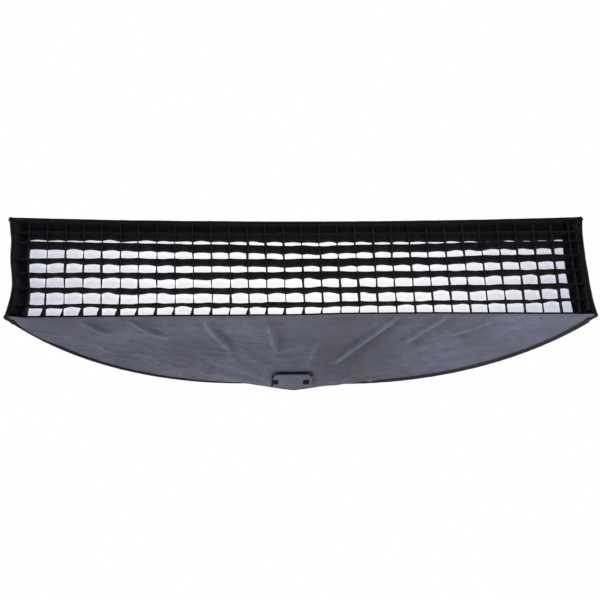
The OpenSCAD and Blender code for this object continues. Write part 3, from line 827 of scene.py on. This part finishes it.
# inside each corner of the lip a gusset closes the gap between a long and an end panel
for level, low in LEVELS:
    for side, flip in SIDES:
        a0, a1 = END - turn(0.100), END - turn(0.004)
        path, dirs = [], []
        for i in range(41):
            a = lerp(a0, a1, i / 40)
            t = rod_tangent(a)
            n = unit(into_panel(a, vec(-1, 0, 0)) + into_panel(a, vec(0, 0, -1)))
            path.append(rod_point(a) + n * (0.0062 + 0.0003 * fbm(i * 0.3, 1.0, 5.0, 2)))
            dirs.append((unit(np.cross(t, n)), n))
        v, f = tube(path, lambda i: dirs[i], strip_section(0.0066, 0.0010, 0.0002))
        v, f = flipped(v, f, x=flip, z=low)
        make(f"gusset_{level}_{side}", v, f, "lip", "softbox")


INSET = 0.0035


# ---------------------------------------------------------------- rim hems and their black piping
def hem_mesh(half, bow, full, reach, steps, seed):
    """A folded hem along the rim. Returns hem and piping, for the side at +Z."""
    path, dirs = [], []
    for i in range(steps + 1):
        x = lerp(-reach, reach, i / steps)
        z = half - INSET - (bow - INSET) * (1 - (x / full) ** 2)
        x1 = x + 0.001
        dz = (half - INSET - (bow - INSET) * (1 - (x1 / full) ** 2) - z) / 0.001
        t = unit(vec(1, 0, dz))
        path.append(vec(x, -DEPTH + HEM_W / 2, z - 0.0022 + 0.0005 * fbm(x * 30, seed, 0, 2)))
        dirs.append((vec(0, -1, 0), unit(np.cross(vec(0, 1, 0), t)) * -1))

    def section(i):
        x = path[i][0]
        k = 0.0003 * math.sin(x * 330 + 3 * fbm(x * 20, seed, 1, 2))
        pts = []
        for j in range(7):
            a = lerp(-0.0060, 0.0048, j / 6)
            pts.append((a, 0.0014 + k * math.sin(pi * j / 6)))
        pts += [(0.0056, 0.0008), (0.0058, 0.0), (0.0056, -0.0008)]
        for j in range(7):
            a = lerp(0.0048, -0.0060, j / 6)
            pts.append((a, -0.0014 - k * math.sin(pi * j / 6)))
        return pts

    hem = tube(path, lambda i: dirs[i], section)
    edge = [p + vec(0, -0.0047, 0) for p in path]
    pip = tube(edge, lambda i: dirs[i], oval(0.0010, 0.0013, 10))
    line = [p + dirs[i][1] * 0.00155 + vec(0, 0.0010, 0) for i, p in enumerate(path)]
    sew = stitches(line, [d[1] for d in dirs])
    line2 = [p - dirs[i][1] * 0.00155 + vec(0, 0.0010, 0) for i, p in enumerate(path)]
    sew += stitches(line2, [-d[1] for d in dirs])
    return hem, pip, sew


for level, low in LEVELS:
    hem, pip, sew = hem_mesh(FACE_Z, LONG_BOW, 0.7775, 0.7895, 260, 4.0 if low else 9.0)
    v, f = flipped(*hem, z=low)
    make(f"{level}_rim_hem", v, f, ["shell", "lip"], "softbox", [f"{level}_hem"],
         marks=lambda q, s=(-1 if low else 1): 0 if q.normal.z * s > 0.3 else 1)
    v, f = flipped(*pip, z=low)
    make(f"{level}_rim_piping", v, f, "piping", "softbox")
    v, f = joined(place_all(sew, False, low))
    make(f"{level}_rim_stitching", v, f, "stitch", "softbox")


def upright(v, f):
    """Turns a strip made along X at +Z into one along Z at +X."""
    return [vec(p[2], p[1], -p[0]) for p in v], f


for side, flip in SIDES:
    hem, pip, sew = hem_mesh(FACE_X, SHORT_BOW, 0.1565, 0.1645, 60, 6.0 if flip else 2.0)
    v, f = flipped(*upright(*hem), x=flip)
    make(f"{side}_rim_hem", v, f, ["shell_end", "lip"], "softbox", [f"{side}_hem"],
         marks=lambda q, s=(-1 if flip else 1): 0 if q.normal.x * s > 0.3 else 1)
    v, f = flipped(*upright(*pip), x=flip)
    make(f"{side}_rim_piping", v, f, "piping", "softbox")
    v, f = joined([flipped(*upright(*p), x=flip) for p in sew])
    make(f"{side}_rim_stitching", v, f, "stitch", "softbox")


# ---------------------------------------------------------------- tapes inside the lip
def off_axis(q):
    """Outward direction at a place on the lip: up or down on the long sides, sideways at the ends."""
    return Vector((0, 0, q.z)) if abs(q.z) > 0.14 else Vector((q.x, 0, 0))


TAPE_IN = 0.0018
INSIDE = 0.0034


def end_x(w, inward):
    a = rod_angle(w)
    t = (a - START) / (END - START)
    push = END_BOW * t ** 2 + 0.0025 * max(1 - t, 0) ** 12
    return rod_point(a)[0] - (push + inward) / math.sin(a)


def tape_strip(w0, w1, end, inward, seed):
    def f(i, j):
        u = -1 + 2 * i
        w = lerp(w0, w1, j)
        a = rod_angle(w)
        k = inward + 0.0006 * fbm(u * 40, w * 60, seed, 2)
        if end:
            return right_point(0.93 * u, a, 0.0062, k)
        return upper_point(0.985 * u, a, 0.0062, k)

    return surface(f, 40 if end else 200, 6)


def lip_tapes(name, w0, w1, node):
    parts = []
    for low in (False, True):
        parts.append(flipped(*tape_strip(w0, w1, False, TAPE_IN, 2 if low else 6), z=low))
    for flip in (False, True):
        parts.append(flipped(*tape_strip(w0, w1, True, TAPE_IN, 3 if flip else 7), x=flip))
    v, f = joined(parts)
    o = make(name, v, f, "tape", "softbox", [node], outward=lambda q: -off_axis(q))
    thicken(o, 0.0011, 0.0)


lip_tapes("grid_tape", DEPTH - 0.038, DEPTH - 0.0125, "grid_hook_tape")
DIFF_W = DEPTH - 0.057
lip_tapes("diffuser_tape", DIFF_W - 0.006, DIFF_W + 0.016, "diffuser_hook_tape")


# ---------------------------------------------------------------- front diffuser and its border
def face_size(w):
    a = rod_angle(w)
    hx = end_x(w, INSIDE) - 0.0012 + 0.005
    hz = upper_point(1, a, 0.0062, INSIDE)[2] - 0.003
    return hx, hz, hz - (centre_z(w) - INSIDE), 0.005


D_HX, D_HZ, D_BZ, D_BX = face_size(DIFF_W)


def face_point(u, v, cut=0.0, end_cut=None):
    """u, v from -1 to 1 over the diffuser's bowed outline."""
    x, z = u * (D_HX - (cut if end_cut is None else end_cut)), v * (D_HZ - cut)
    z -= v * D_BZ * (1 - u * u)
    x -= u * D_BX * (1 - v * v)
    return x, z


def diffuser_f(i, j):
    u, v = -1 + 2 * i, -1 + 2 * j
    x, z = face_point(u, v, 0.002)
    sag = 0.0016 * (1 - u ** 8) * (1 - v ** 4)
    ripple = 0.0007 * fbm(x * 9, z * 14, 1.5, 3)
    ripple += 0.0004 * math.sin(x * 60 + 4 * fbm(x * 4, z * 6, 2, 2)) * abs(v) ** 3
    return vec(x, -(DIFF_W + 0.0006 + sag * 0.5 + ripple * (1 - u ** 8) * (1 - v ** 8)), z)


v, f = surface(diffuser_f, 160, 40)
o = make("diffuser_sheet", v, f, "diffuser", "diffuser", ["front_diffuser"],
         outward=lambda q: Vector((0, -1, 0)))
thicken(o, 0.0006, 0.0)

BORDER, END_BORDER = 0.012, 0.0045
N_LONG, N_SHORT = 160, 36


def border_line(cut, end_cut):
    """Points round the diffuser, as many for every cut."""
    half = [(-1 + 2 * i / N_LONG, 1) for i in range(N_LONG)]
    half += [(1, 1 - 2 * i / N_SHORT) for i in range(N_SHORT)]
    return [face_point(u, v, cut, end_cut) for u, v in half + [(-u, -v) for u, v in half]]


outer, inner = border_line(0.0, 0.0), border_line(BORDER, END_BORDER)
count, rows = len(outer), 6
verts, faces = [], []
for j in range(rows + 1):
    for k in range(count):
        x, z = lerp(outer[k][0], inner[k][0], j / rows), lerp(outer[k][1], inner[k][1], j / rows)
        lift = 0.0016 + 0.0008 * math.sin(pi * j / rows) + 0.0004 * fbm(x * 30, z * 30, 3, 2)
        verts.append(vec(x, -(DIFF_W + 0.0012 + lift), z))
for j in range(rows):
    for k in range(count):
        n = (k + 1) % count
        faces.append((j * count + k, j * count + n, (j + 1) * count + n, (j + 1) * count + k))
o = make("diffuser_edge", verts, faces, "tape", "diffuser", ["diffuser_border"],
         outward=lambda q: Vector((0, -1, 0)))
thicken(o, 0.0013, 0.0)


# ---------------------------------------------------------------- egg-crate grid
GRID_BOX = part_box("grid_long_strips")
G_FRONT, G_BACK = -GRID_BOX[0][1], -GRID_BOX[1][1]
PITCH_X, PITCH_Z = 0.0498, 0.048
COLS, ROWS = 31, 6
BAND_FRONT, BAND_BACK, BAND_T = end_x(G_FRONT, INSIDE) - 0.0012, end_x(G_BACK, INSIDE) - 0.0012, 0.0015
G_END_Z = upper_point(1, rod_angle(G_BACK), 0.0062, INSIDE)[2] - 0.004
# how far the long strips have crept up from their even places, in mm, top strip first:
# at the left, in the middle and at the right, for the front and for the back edges
FRONT_LIFT = ((3, 16, 7, 5, 1, -6), (1, 4, 7, 10, 4, 2), (3, 16, 16, 12, 10, 5))
BACK_LIFT = ((3, 17, 15, 14, 10.5, 8), (-2.5, 4, 7.4, 12, 11.5, 12.4), (-2, 18, 19, 20, 17, 21))


def band_z(x, q):
    """Height of the grid's upper band, at q from front (0) to back (1)."""
    end = G_END_Z + 0.005 * (1 - q)
    middle = centre_z(lerp(G_FRONT, G_BACK, q)) - INSIDE - 0.002 * (1 - q)
    return end - (end - middle) * (1 - (x / BAND_BACK) ** 2)


def strip_z(j):
    """Even place of long strip j, the top one first."""
    return ((ROWS - 1) / 2 - j) * PITCH_Z


def wobble(size, *at):
    """A small uneven move, the same every time for the same place."""
    return size * noise.noise(Vector(at))


def node_z(i, j, q):
    """Height of the crossing of upright i and long strip j, at q from front (0) to back (1)."""
    jj = min(max(j, 0), ROWS - 1)
    away = (i - 15) * PITCH_X / 0.62
    end = 2 if away > 0 else 0
    k = min(abs(away), 1.1)
    front = lerp(FRONT_LIFT[1][jj], FRONT_LIFT[end][jj], k)
    back = lerp(BACK_LIFT[1][jj], BACK_LIFT[end][jj], k)
    wob = wobble(0.0028, i * 0.9, j * 1.7, 3.0) + wobble(0.0024, i * 2.3, j * 2.9, 8.0 + q)
    return strip_z(j) + lerp(front, back, q) * MM + wob


def node_x(i, j, q):
    """X of the same crossing: the uprights sit a little to the right and lean."""
    x = (i - 15) * PITCH_X + 0.0060
    wob = wobble(0.0018, i * 1.9, j * 0.8, 13.0) + wobble(0.0095 * (q - 0.5), i * 0.7, j * 0.6, 21.0)
    return x + wob + 0.0040 * q * smooth((x - 0.05) / 0.5)


def long_f(j):
    edge_f, edge_b = BAND_FRONT - 0.0035, BAND_BACK - 0.0035

    def f(s, q):
        g = -1 + s * (COLS + 1)                       # in columns: -1 and COLS are the end bands
        i = int(math.floor(g))
        t = g - i
        half = lerp(edge_f, edge_b, q)

        def at(k):
            if k < 0:
                return -half, node_z(0, j, q)
            if k > COLS - 1:
                return half, node_z(COLS - 1, j, q)
            return node_x(k, j, q), node_z(k, j, q)

        (x0, z0), (x1, z1) = at(i), at(i + 1)
        x = lerp(x0, x1, t)
        z = lerp(z0, z1, smooth(t) * 0.5 + t * 0.5)
        hump = lerp(-0.0012, 0.0034, q ** 2) * (1 + 1.6 * noise.noise(Vector((i * 1.3, j * 3.1, q))))
        z += hump * math.sin(pi * t)
        z += lerp(0.0014, 0.0034, q) * math.sin(2 * pi * t) * noise.noise(Vector((i * 2.1, j * 1.1, 4.0)))
        z += 0.0005 * noise.noise(Vector((x * 60, j, q * 3)))
        y = -lerp(G_FRONT, G_BACK, q) + 0.0006 * noise.noise(Vector((x * 30, j * 2, 5.0))) * (1 - 2 * q)
        return vec(x, y, z)

    return f


parts = []
for j in range(ROWS):
    parts.append(surface(long_f(j), (COLS + 1) * 8, 4))
v, f = joined(parts)
o = make("grid_long_cloth", v, f, "grid", "grid", ["grid_long_strips"],
         outward=lambda q: Vector((0, 0, 1)))
thicken(o, 0.0011, 0.0)


def up_f(i):
    def f(s, q):
        g = -1 + s * (ROWS + 1)                      # from the top band down to the bottom band
        j = int(math.floor(g))
        t = g - j

        def at(k):
            x = node_x(i, min(max(k, 0), ROWS - 1), q)
            lim = band_z(x, q) - BAND_T - 0.0002
            if k < 0:
                return x, lim
            if k > ROWS - 1:
                slack = 0.0095 * (1 - q) * (1 - smooth((x - 0.02) / 0.30))
                return x - slack + 0.0025 * noise.noise(Vector((i * 0.8, 1.0, 31.0))), -lim
            return x, node_z(i, k, q)

        (x0, z0), (x1, z1) = at(j), at(j + 1)
        z = lerp(z0, z1, t)
        x = lerp(x0, x1, smooth(t) * 0.5 + t * 0.5)
        x += 0.0014 * math.sin(pi * t) * noise.noise(Vector((i * 1.7, j * 2.3, q * 0.6)))
        x += 0.0008 * math.sin(2 * pi * t) * noise.noise(Vector((i * 3.1, j * 0.9, 2.0)))
        return vec(x, -lerp(G_FRONT - 0.0003, G_BACK, q), z)

    return f


parts = []
for i in range(COLS):
    parts.append(surface(up_f(i), (ROWS + 1) * 6, 4))
v, f = joined(parts)
o = make("grid_upright_cloth", v, f, "grid_up", "grid", ["grid_cross_strips"],
         outward=lambda q: Vector((1, 0, 0)))
thicken(o, 0.0011, 0.0)

# the uprights' edges are turned over and sewn into a thin bead
parts = []
for i in range(COLS):
    for q, r in ((0.0, 0.0012), (1.0, 0.0010)):
        path = [up_f(i)(k / 42, q) for k in range(43)]

        def frames(k, path=path):
            t = unit(path[min(k + 1, 42)] - path[max(k - 1, 0)])
            a = unit(np.cross(t, vec(0, 1, 0)))
            return a, unit(np.cross(t, a))

        parts.append(tube(path, frames, oval(r, r * 1.2, 8)))
v, f = joined(parts)
make("grid_upright_beads", v, f, "grid_up", "grid")

parts = []
for low in (False, True):
    def f(i, q):
        x = lerp(-BAND_BACK + 0.006, BAND_BACK - 0.006, i)
        # the upper band's back edge sags where it isn't held
        droop = 0 if low else q * (0.0030 + 0.0045 * math.exp(-((x - 0.28) / 0.2) ** 2))
        z = band_z(x, q) - droop - 0.0008 + 0.0005 * fbm(x * 26, q * 2, 1 if low else 2, 2)
        return vec(x, -lerp(G_FRONT, G_BACK, q), z)
    parts.append(flipped(*surface(f, 220, 6), z=low))
for flip in (False, True):
    def f(i, q):
        z = lerp(-G_END_Z + 0.006, G_END_Z - 0.006, i)
        x = lerp(BAND_FRONT, BAND_BACK, q) - 0.0008 + 0.0009 * math.sin(q * 19)
        x += 0.0006 * fbm(z * 30, q * 2, 5 if flip else 6, 2)
        return vec(x, -lerp(G_FRONT, G_BACK, q), z)
    parts.append(flipped(*surface(f, 50, 16), x=flip))
v, f = joined(parts)
o = make("grid_edge", v, f, "grid", "grid", ["grid_border"],
         outward=off_axis)
thicken(o, 0.0012, 0.0)


# ---------------------------------------------------------------- access flaps
def flap_crown(x, fwd):
    """How far the flap's cloth stands up at a place on it."""
    rise = 0.0012 * (1 - (2 * x / FLAP_W) ** 2) * math.sin(pi * min(fwd / FLAP_L, 1))
    return rise + 0.0004 * fbm(x * 60, fwd * 60, 2, 2)


def flap_outline(grow=0.0, corner=0.016, n=8):
    """Points round the flap's free edges, from one hinge corner to the other."""
    hw, fl = FLAP_W / 2 + grow, FLAP_L + grow
    pts = [(-hw, fl * k / 16 * (1 - corner / fl)) for k in range(16)]
    arc = [(corner * math.cos(pi / 2 * k / n), corner * math.sin(pi / 2 * k / n)) for k in range(n + 1)]
    pts += [(-hw + corner - c, fl - corner + s) for c, s in arc]
    pts += [(lerp(-hw + corner, hw - corner, k / 12), fl) for k in range(1, 12)]
    pts += [(hw - corner + s, fl - corner + c) for c, s in arc]
    pts += [(hw, (fl - corner) * (1 - k / 16)) for k in range(1, 17)]
    return pts


for level, low in LEVELS:
    ring = flap_outline()
    # concentric rows, from the outline to a line down the middle
    rows = 10
    verts, faces = [], []
    for r in range(rows + 1):
        k = 1 - r / rows
        for x, y in ring:
            xx, yy = x * k, lerp(min(max(y, 0.0), FLAP_L) * 0.5 + FLAP_L * 0.25, y, k)
            verts.append(flap_place(xx, yy, flap_crown(xx, yy), low))
    n = len(ring)
    for r in range(rows):
        for i in range(n):
            m = (i + 1) % n
            faces.append((r * n + i, r * n + m, (r + 1) * n + m, (r + 1) * n + i))
    o = make(f"{level}_flap_cloth", verts, faces, ["shell", "tape"], f"{level}_flap",
             [f"{level}_flap"], outward=lambda q, s=(-1 if low else 1): Vector((0, 0, s)), merge=0.00002)
    thicken(o, 0.0012, 0.0, inner=0)
    # bound edge: wide along the free end, narrow down one side; the other side is folded grey cloth
    up = vec(0, -math.sin(flap_tilt()), math.cos(flap_tilt()) * (-1 if low else 1))
    sew = []
    for piece, key, sides in (("binding", "binding", True), ("side_fold", "shell", False)):
        path, wide = [], []
        for x, y in flap_outline(-0.0030):
            front = y > FLAP_L * 0.76
            if sides == (front or x < 0):
                path.append(flap_place(x, y, flap_crown(x, y), low))
                wide.append(0.0036 if front and sides else 0.0019)

        def frames(i, path=path, up=up):
            t = unit(path[min(i + 1, len(path) - 1)] - path[max(i - 1, 0)])
            return unit(np.cross(t, up)), up

        v, f = tube(path, frames, lambda i, wide=wide: strip_section(wide[i], 0.0026, 0.0006))
        make(f"{level}_flap_{piece}", v, f, key, f"{level}_flap")
        sew += stitches([p + up * 0.0019 for p in path], [up] * len(path))
    # two closing tabs, sewn on with a box of stitches
    parts = []
    for s in (-1, 1):
        cx, cy, hw, hl = s * 0.044 - 0.003, FLAP_L * 0.2 + 0.013, 0.0088, 0.0135
        outline = pillow(hw, hl, 0.0025, 4)

        def ring_at(kx, ky, height, cx=cx, cy=cy, low=low, outline=outline):
            """The tab's outline drawn in by kx and ky, at a height over the flap."""
            return [flap_place(cx + x * kx, cy + y * ky, flap_crown(cx + x, cy + y) + height, low)
                    for x, y in outline]

        nn = len(outline)
        vv = ring_at(1, 1, 0.0007) + ring_at(0.96, 0.98, 0.0020) + ring_at(0.80, 0.86, 0.0024)
        ff = [(a * nn + k, a * nn + (k + 1) % nn, (a + 1) * nn + (k + 1) % nn, (a + 1) * nn + k)
              for a in (0, 1) for k in range(nn)]
        ff += [tuple(2 * nn + k for k in range(nn)), tuple(nn - 1 - k for k in range(nn))]
        parts.append((vv, ff))
        box = ring_at(0.78, 0.84, 0.0024)
        box += box[:1]
        sew += stitches(box, [up] * len(box), gap=0.0034, length=0.0022)
    v, f = joined(parts)
    make(f"{level}_tabs", v, f, "patch", f"{level}_flap", [f"{level}_flap_tabs"])
    v, f = joined(sew)
    make(f"{level}_flap_stitching", v, f, "stitch", f"{level}_flap")

# hook patches on the panels, under the free ends of the flaps
parts = []
for low in (False, True):
    def f(i, j):
        x, y = lerp(-0.036, 0.036, i), lerp(FLAP_L - 0.015, FLAP_L - 0.003, j)
        return flap_place(x, y, -0.0024 + 0.0002 * fbm(x * 120, y * 120, 1, 2), low)
    parts.append(surface(f, 48, 8))
v, f = joined(parts)
o = make("hook_patches", v, f, "tape", "softbox", ["flap_hook_patches"],
         outward=lambda q: Vector((0, 0, q.z)))
thicken(o, 0.0016, 0.0)


# ---------------------------------------------------------------- collar, baffle, straps
parts = []
for k in range(4):
    mid = k * pi / 2
    sweep = math.radians(56)

    def f(i, j, mid=mid, sweep=sweep):
        a = mid - sweep / 2 + sweep * i
        y = -lerp(0.004, 0.021, j)
        r = RING_R + 0.0012 + 0.0006 * math.sin(pi * j) + 0.0003 * fbm(a * 9, y * 90, 1, 2)
        return vec(r * math.cos(a), y, r * math.sin(a))

    def keep(i, j, k=k, sweep=sweep):
        if k:
            return True
        a = (-sweep / 2 + sweep * i) * RING_R
        y = lerp(0.004, 0.021, j)
        return math.hypot(a, y - 0.0075) > 0.0055

    parts.append(surface(f, 56, 12, keep))
v, f = joined(parts)
o = make("collar_webbing", v, f, "webbing", "softbox", ["collar_tabs"],
         outward=lambda q: Vector((q.x, 0, q.z)))
thicken(o, 0.0012, 0.0)

BAF = -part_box("inner_baffle")[1][1]


def baffle_f(i, j):
    u, v = -1 + 2 * i, -1 + 2 * j
    x = u * 0.500
    z = v * (0.092 - 0.006 * (1 - u * u)) * (1 - 0.03 * abs(u) ** 6)
    belly = 0.006 * (1 - u ** 4) * (1 - v ** 4) + 0.0016 * fbm(x * 12, z * 12, 4, 3) * (1 - v ** 6)
    return vec(x * (1 - 0.02 * v ** 6), -(BAF + 0.0006 + belly * 0.5), z)


v, f = surface(baffle_f, 90, 26)
o = make("baffle_sheet", v, f, "baffle", "softbox", ["inner_baffle"],
         outward=lambda q: Vector((0, -1, 0)))
thicken(o, 0.0007, 0.0)
edge = [baffle_f(k / 60, 1) for k in range(61)] + [baffle_f(1, 1 - k / 20) for k in range(1, 21)]
edge += [baffle_f(1 - k / 60, 0) for k in range(1, 61)] + [baffle_f(0, k / 20) for k in range(1, 21)]


def frames(i):
    t = unit(edge[min(i + 1, len(edge) - 1)] - edge[max(i - 1, 0)])
    return unit(np.cross(t, vec(0, 1, 0))), vec(0, 1, 0)


v, f = tube(edge, frames, strip_section(0.0045, 0.0016, 0.0003))
make("baffle_binding", v, f, "elastic", "softbox")

parts = []
anchor = rod_point(rod_angle(BAF + 0.012))
for low in (False, True):
    for flip in (False, True):
        for p0, p1 in (((0.478, 0.074), (anchor[0] - 0.020, anchor[2] - 0.016)),
                       ((0.189, 0.068), (0.189, 0.1185))):
            a, b = vec(p0[0], -BAF - 0.0044, p0[1]), vec(p1[0], -BAF - 0.0044, p1[1])
            path = [lerp(a, b, k / 24) + vec(0, -0.0010 * math.sin(pi * k / 24), 0) for k in range(25)]
            side = unit(np.cross(b - a, vec(0, 1, 0)))

            def frames(i, side=side):
                return side, vec(0, -1, 0)

            parts.append(flipped(*tube(path, frames, strip_section(0.0085, 0.0009, 0.0002)), x=flip, z=low))
v, f = joined(parts)
make("strap_bands", v, f, "elastic", "softbox", ["baffle_straps"])


# ---------------------------------------------------------------- CAD pieces that stay
def finish_node(prefix, key):
    for n, o in NODES.items():
        if n == prefix or n.startswith(prefix + "_upper") or n.startswith(prefix + "_lower"):
            for s in o.material_slots:
                s.material = M[key]


for n, key in (("bayonet_insert", "insert"), ("speed_ring", "ring"), ("retainer_ring", "plate"),
               ("retainer_screws", "screw"), ("lock_pad", "pad"), ("lock_knob", "knob"), ("socket", "brass"), ("rod", "rod"),
               ("rod_tip", "rubber"), ("baffle_studs", "stud")):
    finish_node(n, key)


# ---------------------------------------------------------------- studio
def stage_mesh(name, size, z, rgb):
    me = bpy.data.meshes.new(name)
    corners = [(-size, -size, z), (size, -size, z), (size, size, z), (-size, size, z)]
    me.from_pydata(corners, [], [(0, 1, 2, 3)])
    o = bpy.data.objects.new(name, me)
    bpy.context.scene.collection.objects.link(o)
    m, t, b = nodes_of(name)
    tc = t.nodes.new("ShaderNodeTexCoord").outputs["Object"]
    paper = ramp(t, noise_node(t, tc, 1.5, 3), [(0.3, shade(rgb, 0.99)), (0.7, shade(rgb, 1.01))])
    link(t, paper, b.inputs["Base Color"])
    b.inputs["Roughness"].default_value = 0.9
    me.materials.append(m)
    return o


stage_mesh("floor", 30.0, -4.6, (0.90, 0.90, 0.90))

world = bpy.data.worlds.new("studio")
bpy.context.scene.world = world
world.use_nodes = True
bg = world.node_tree.nodes["Background"]
bg.inputs["Color"].default_value = (1, 1, 1, 1)
bg.inputs["Strength"].default_value = 1.0


def area(name, place, aim, size, power, rgb=(1, 1, 1)):
    l = bpy.data.lights.new(name, "AREA")
    l.shape = "RECTANGLE"
    l.size, l.size_y = size
    l.energy = power
    l.color = rgb
    o = bpy.data.objects.new(name, l)
    o.location = place
    o.rotation_euler = (Vector(aim) - Vector(place)).to_track_quat("-Z", "Y").to_euler()
    bpy.context.scene.collection.objects.link(o)


FACE = Vector((0, -DEPTH, 0))
UNDER = Vector((0, -0.26, -0.13))
area("rake", (-4.6, 0.3, -2.0), UNDER, (1.0, 1.0), 760)
area("fill", (2.9, -0.3, -3.4), UNDER, (1.8, 1.8), 40)
area("side", (1.6, -0.3, -0.95), Vector((0.55, -0.35, -0.14)), (0.5, 0.5), 52)
area("front", (-2.6, -3.2, 1.2), FACE, (2.0, 2.0), 25)
area("top_back", (1.8, 2.8, 3.4), Vector((0, -0.2, 0)), (1.8, 1.8), 190)

# camera: below the box, looking up at its open face
AZ, BELOW, ROLL, DIST = math.radians(-4.73), math.radians(38.22), math.radians(-3.06), 5.88
cam_at = FACE + DIST * Vector((math.sin(AZ) * math.cos(BELOW), -math.cos(AZ) * math.cos(BELOW),
                               -math.sin(BELOW)))
fwd = (FACE - cam_at).normalized()
right = fwd.cross(Vector((0, 0, 1))).normalized()
up = right.cross(fwd)
r2 = right * math.cos(ROLL) + up * math.sin(ROLL)
u2 = -right * math.sin(ROLL) + up * math.cos(ROLL)
fwd2 = (fwd - u2 * 0.01615 - r2 * 0.0004).normalized()       # aimed a little under the face's centre
r3 = fwd2.cross(u2).normalized()
u3 = r3.cross(fwd2)
cam = bpy.data.cameras.new("camera")
cam.sensor_width = 36
cam.lens = 129.3
cam.clip_end = 200
co = bpy.data.objects.new("camera", cam)
rot = Matrix((r3, u3, -fwd2)).transposed().to_4x4()
co.matrix_world = Matrix.Translation(cam_at) @ rot
bpy.context.scene.collection.objects.link(co)
bpy.context.scene.camera = co
bpy.context.scene.view_settings.view_transform = "Standard"
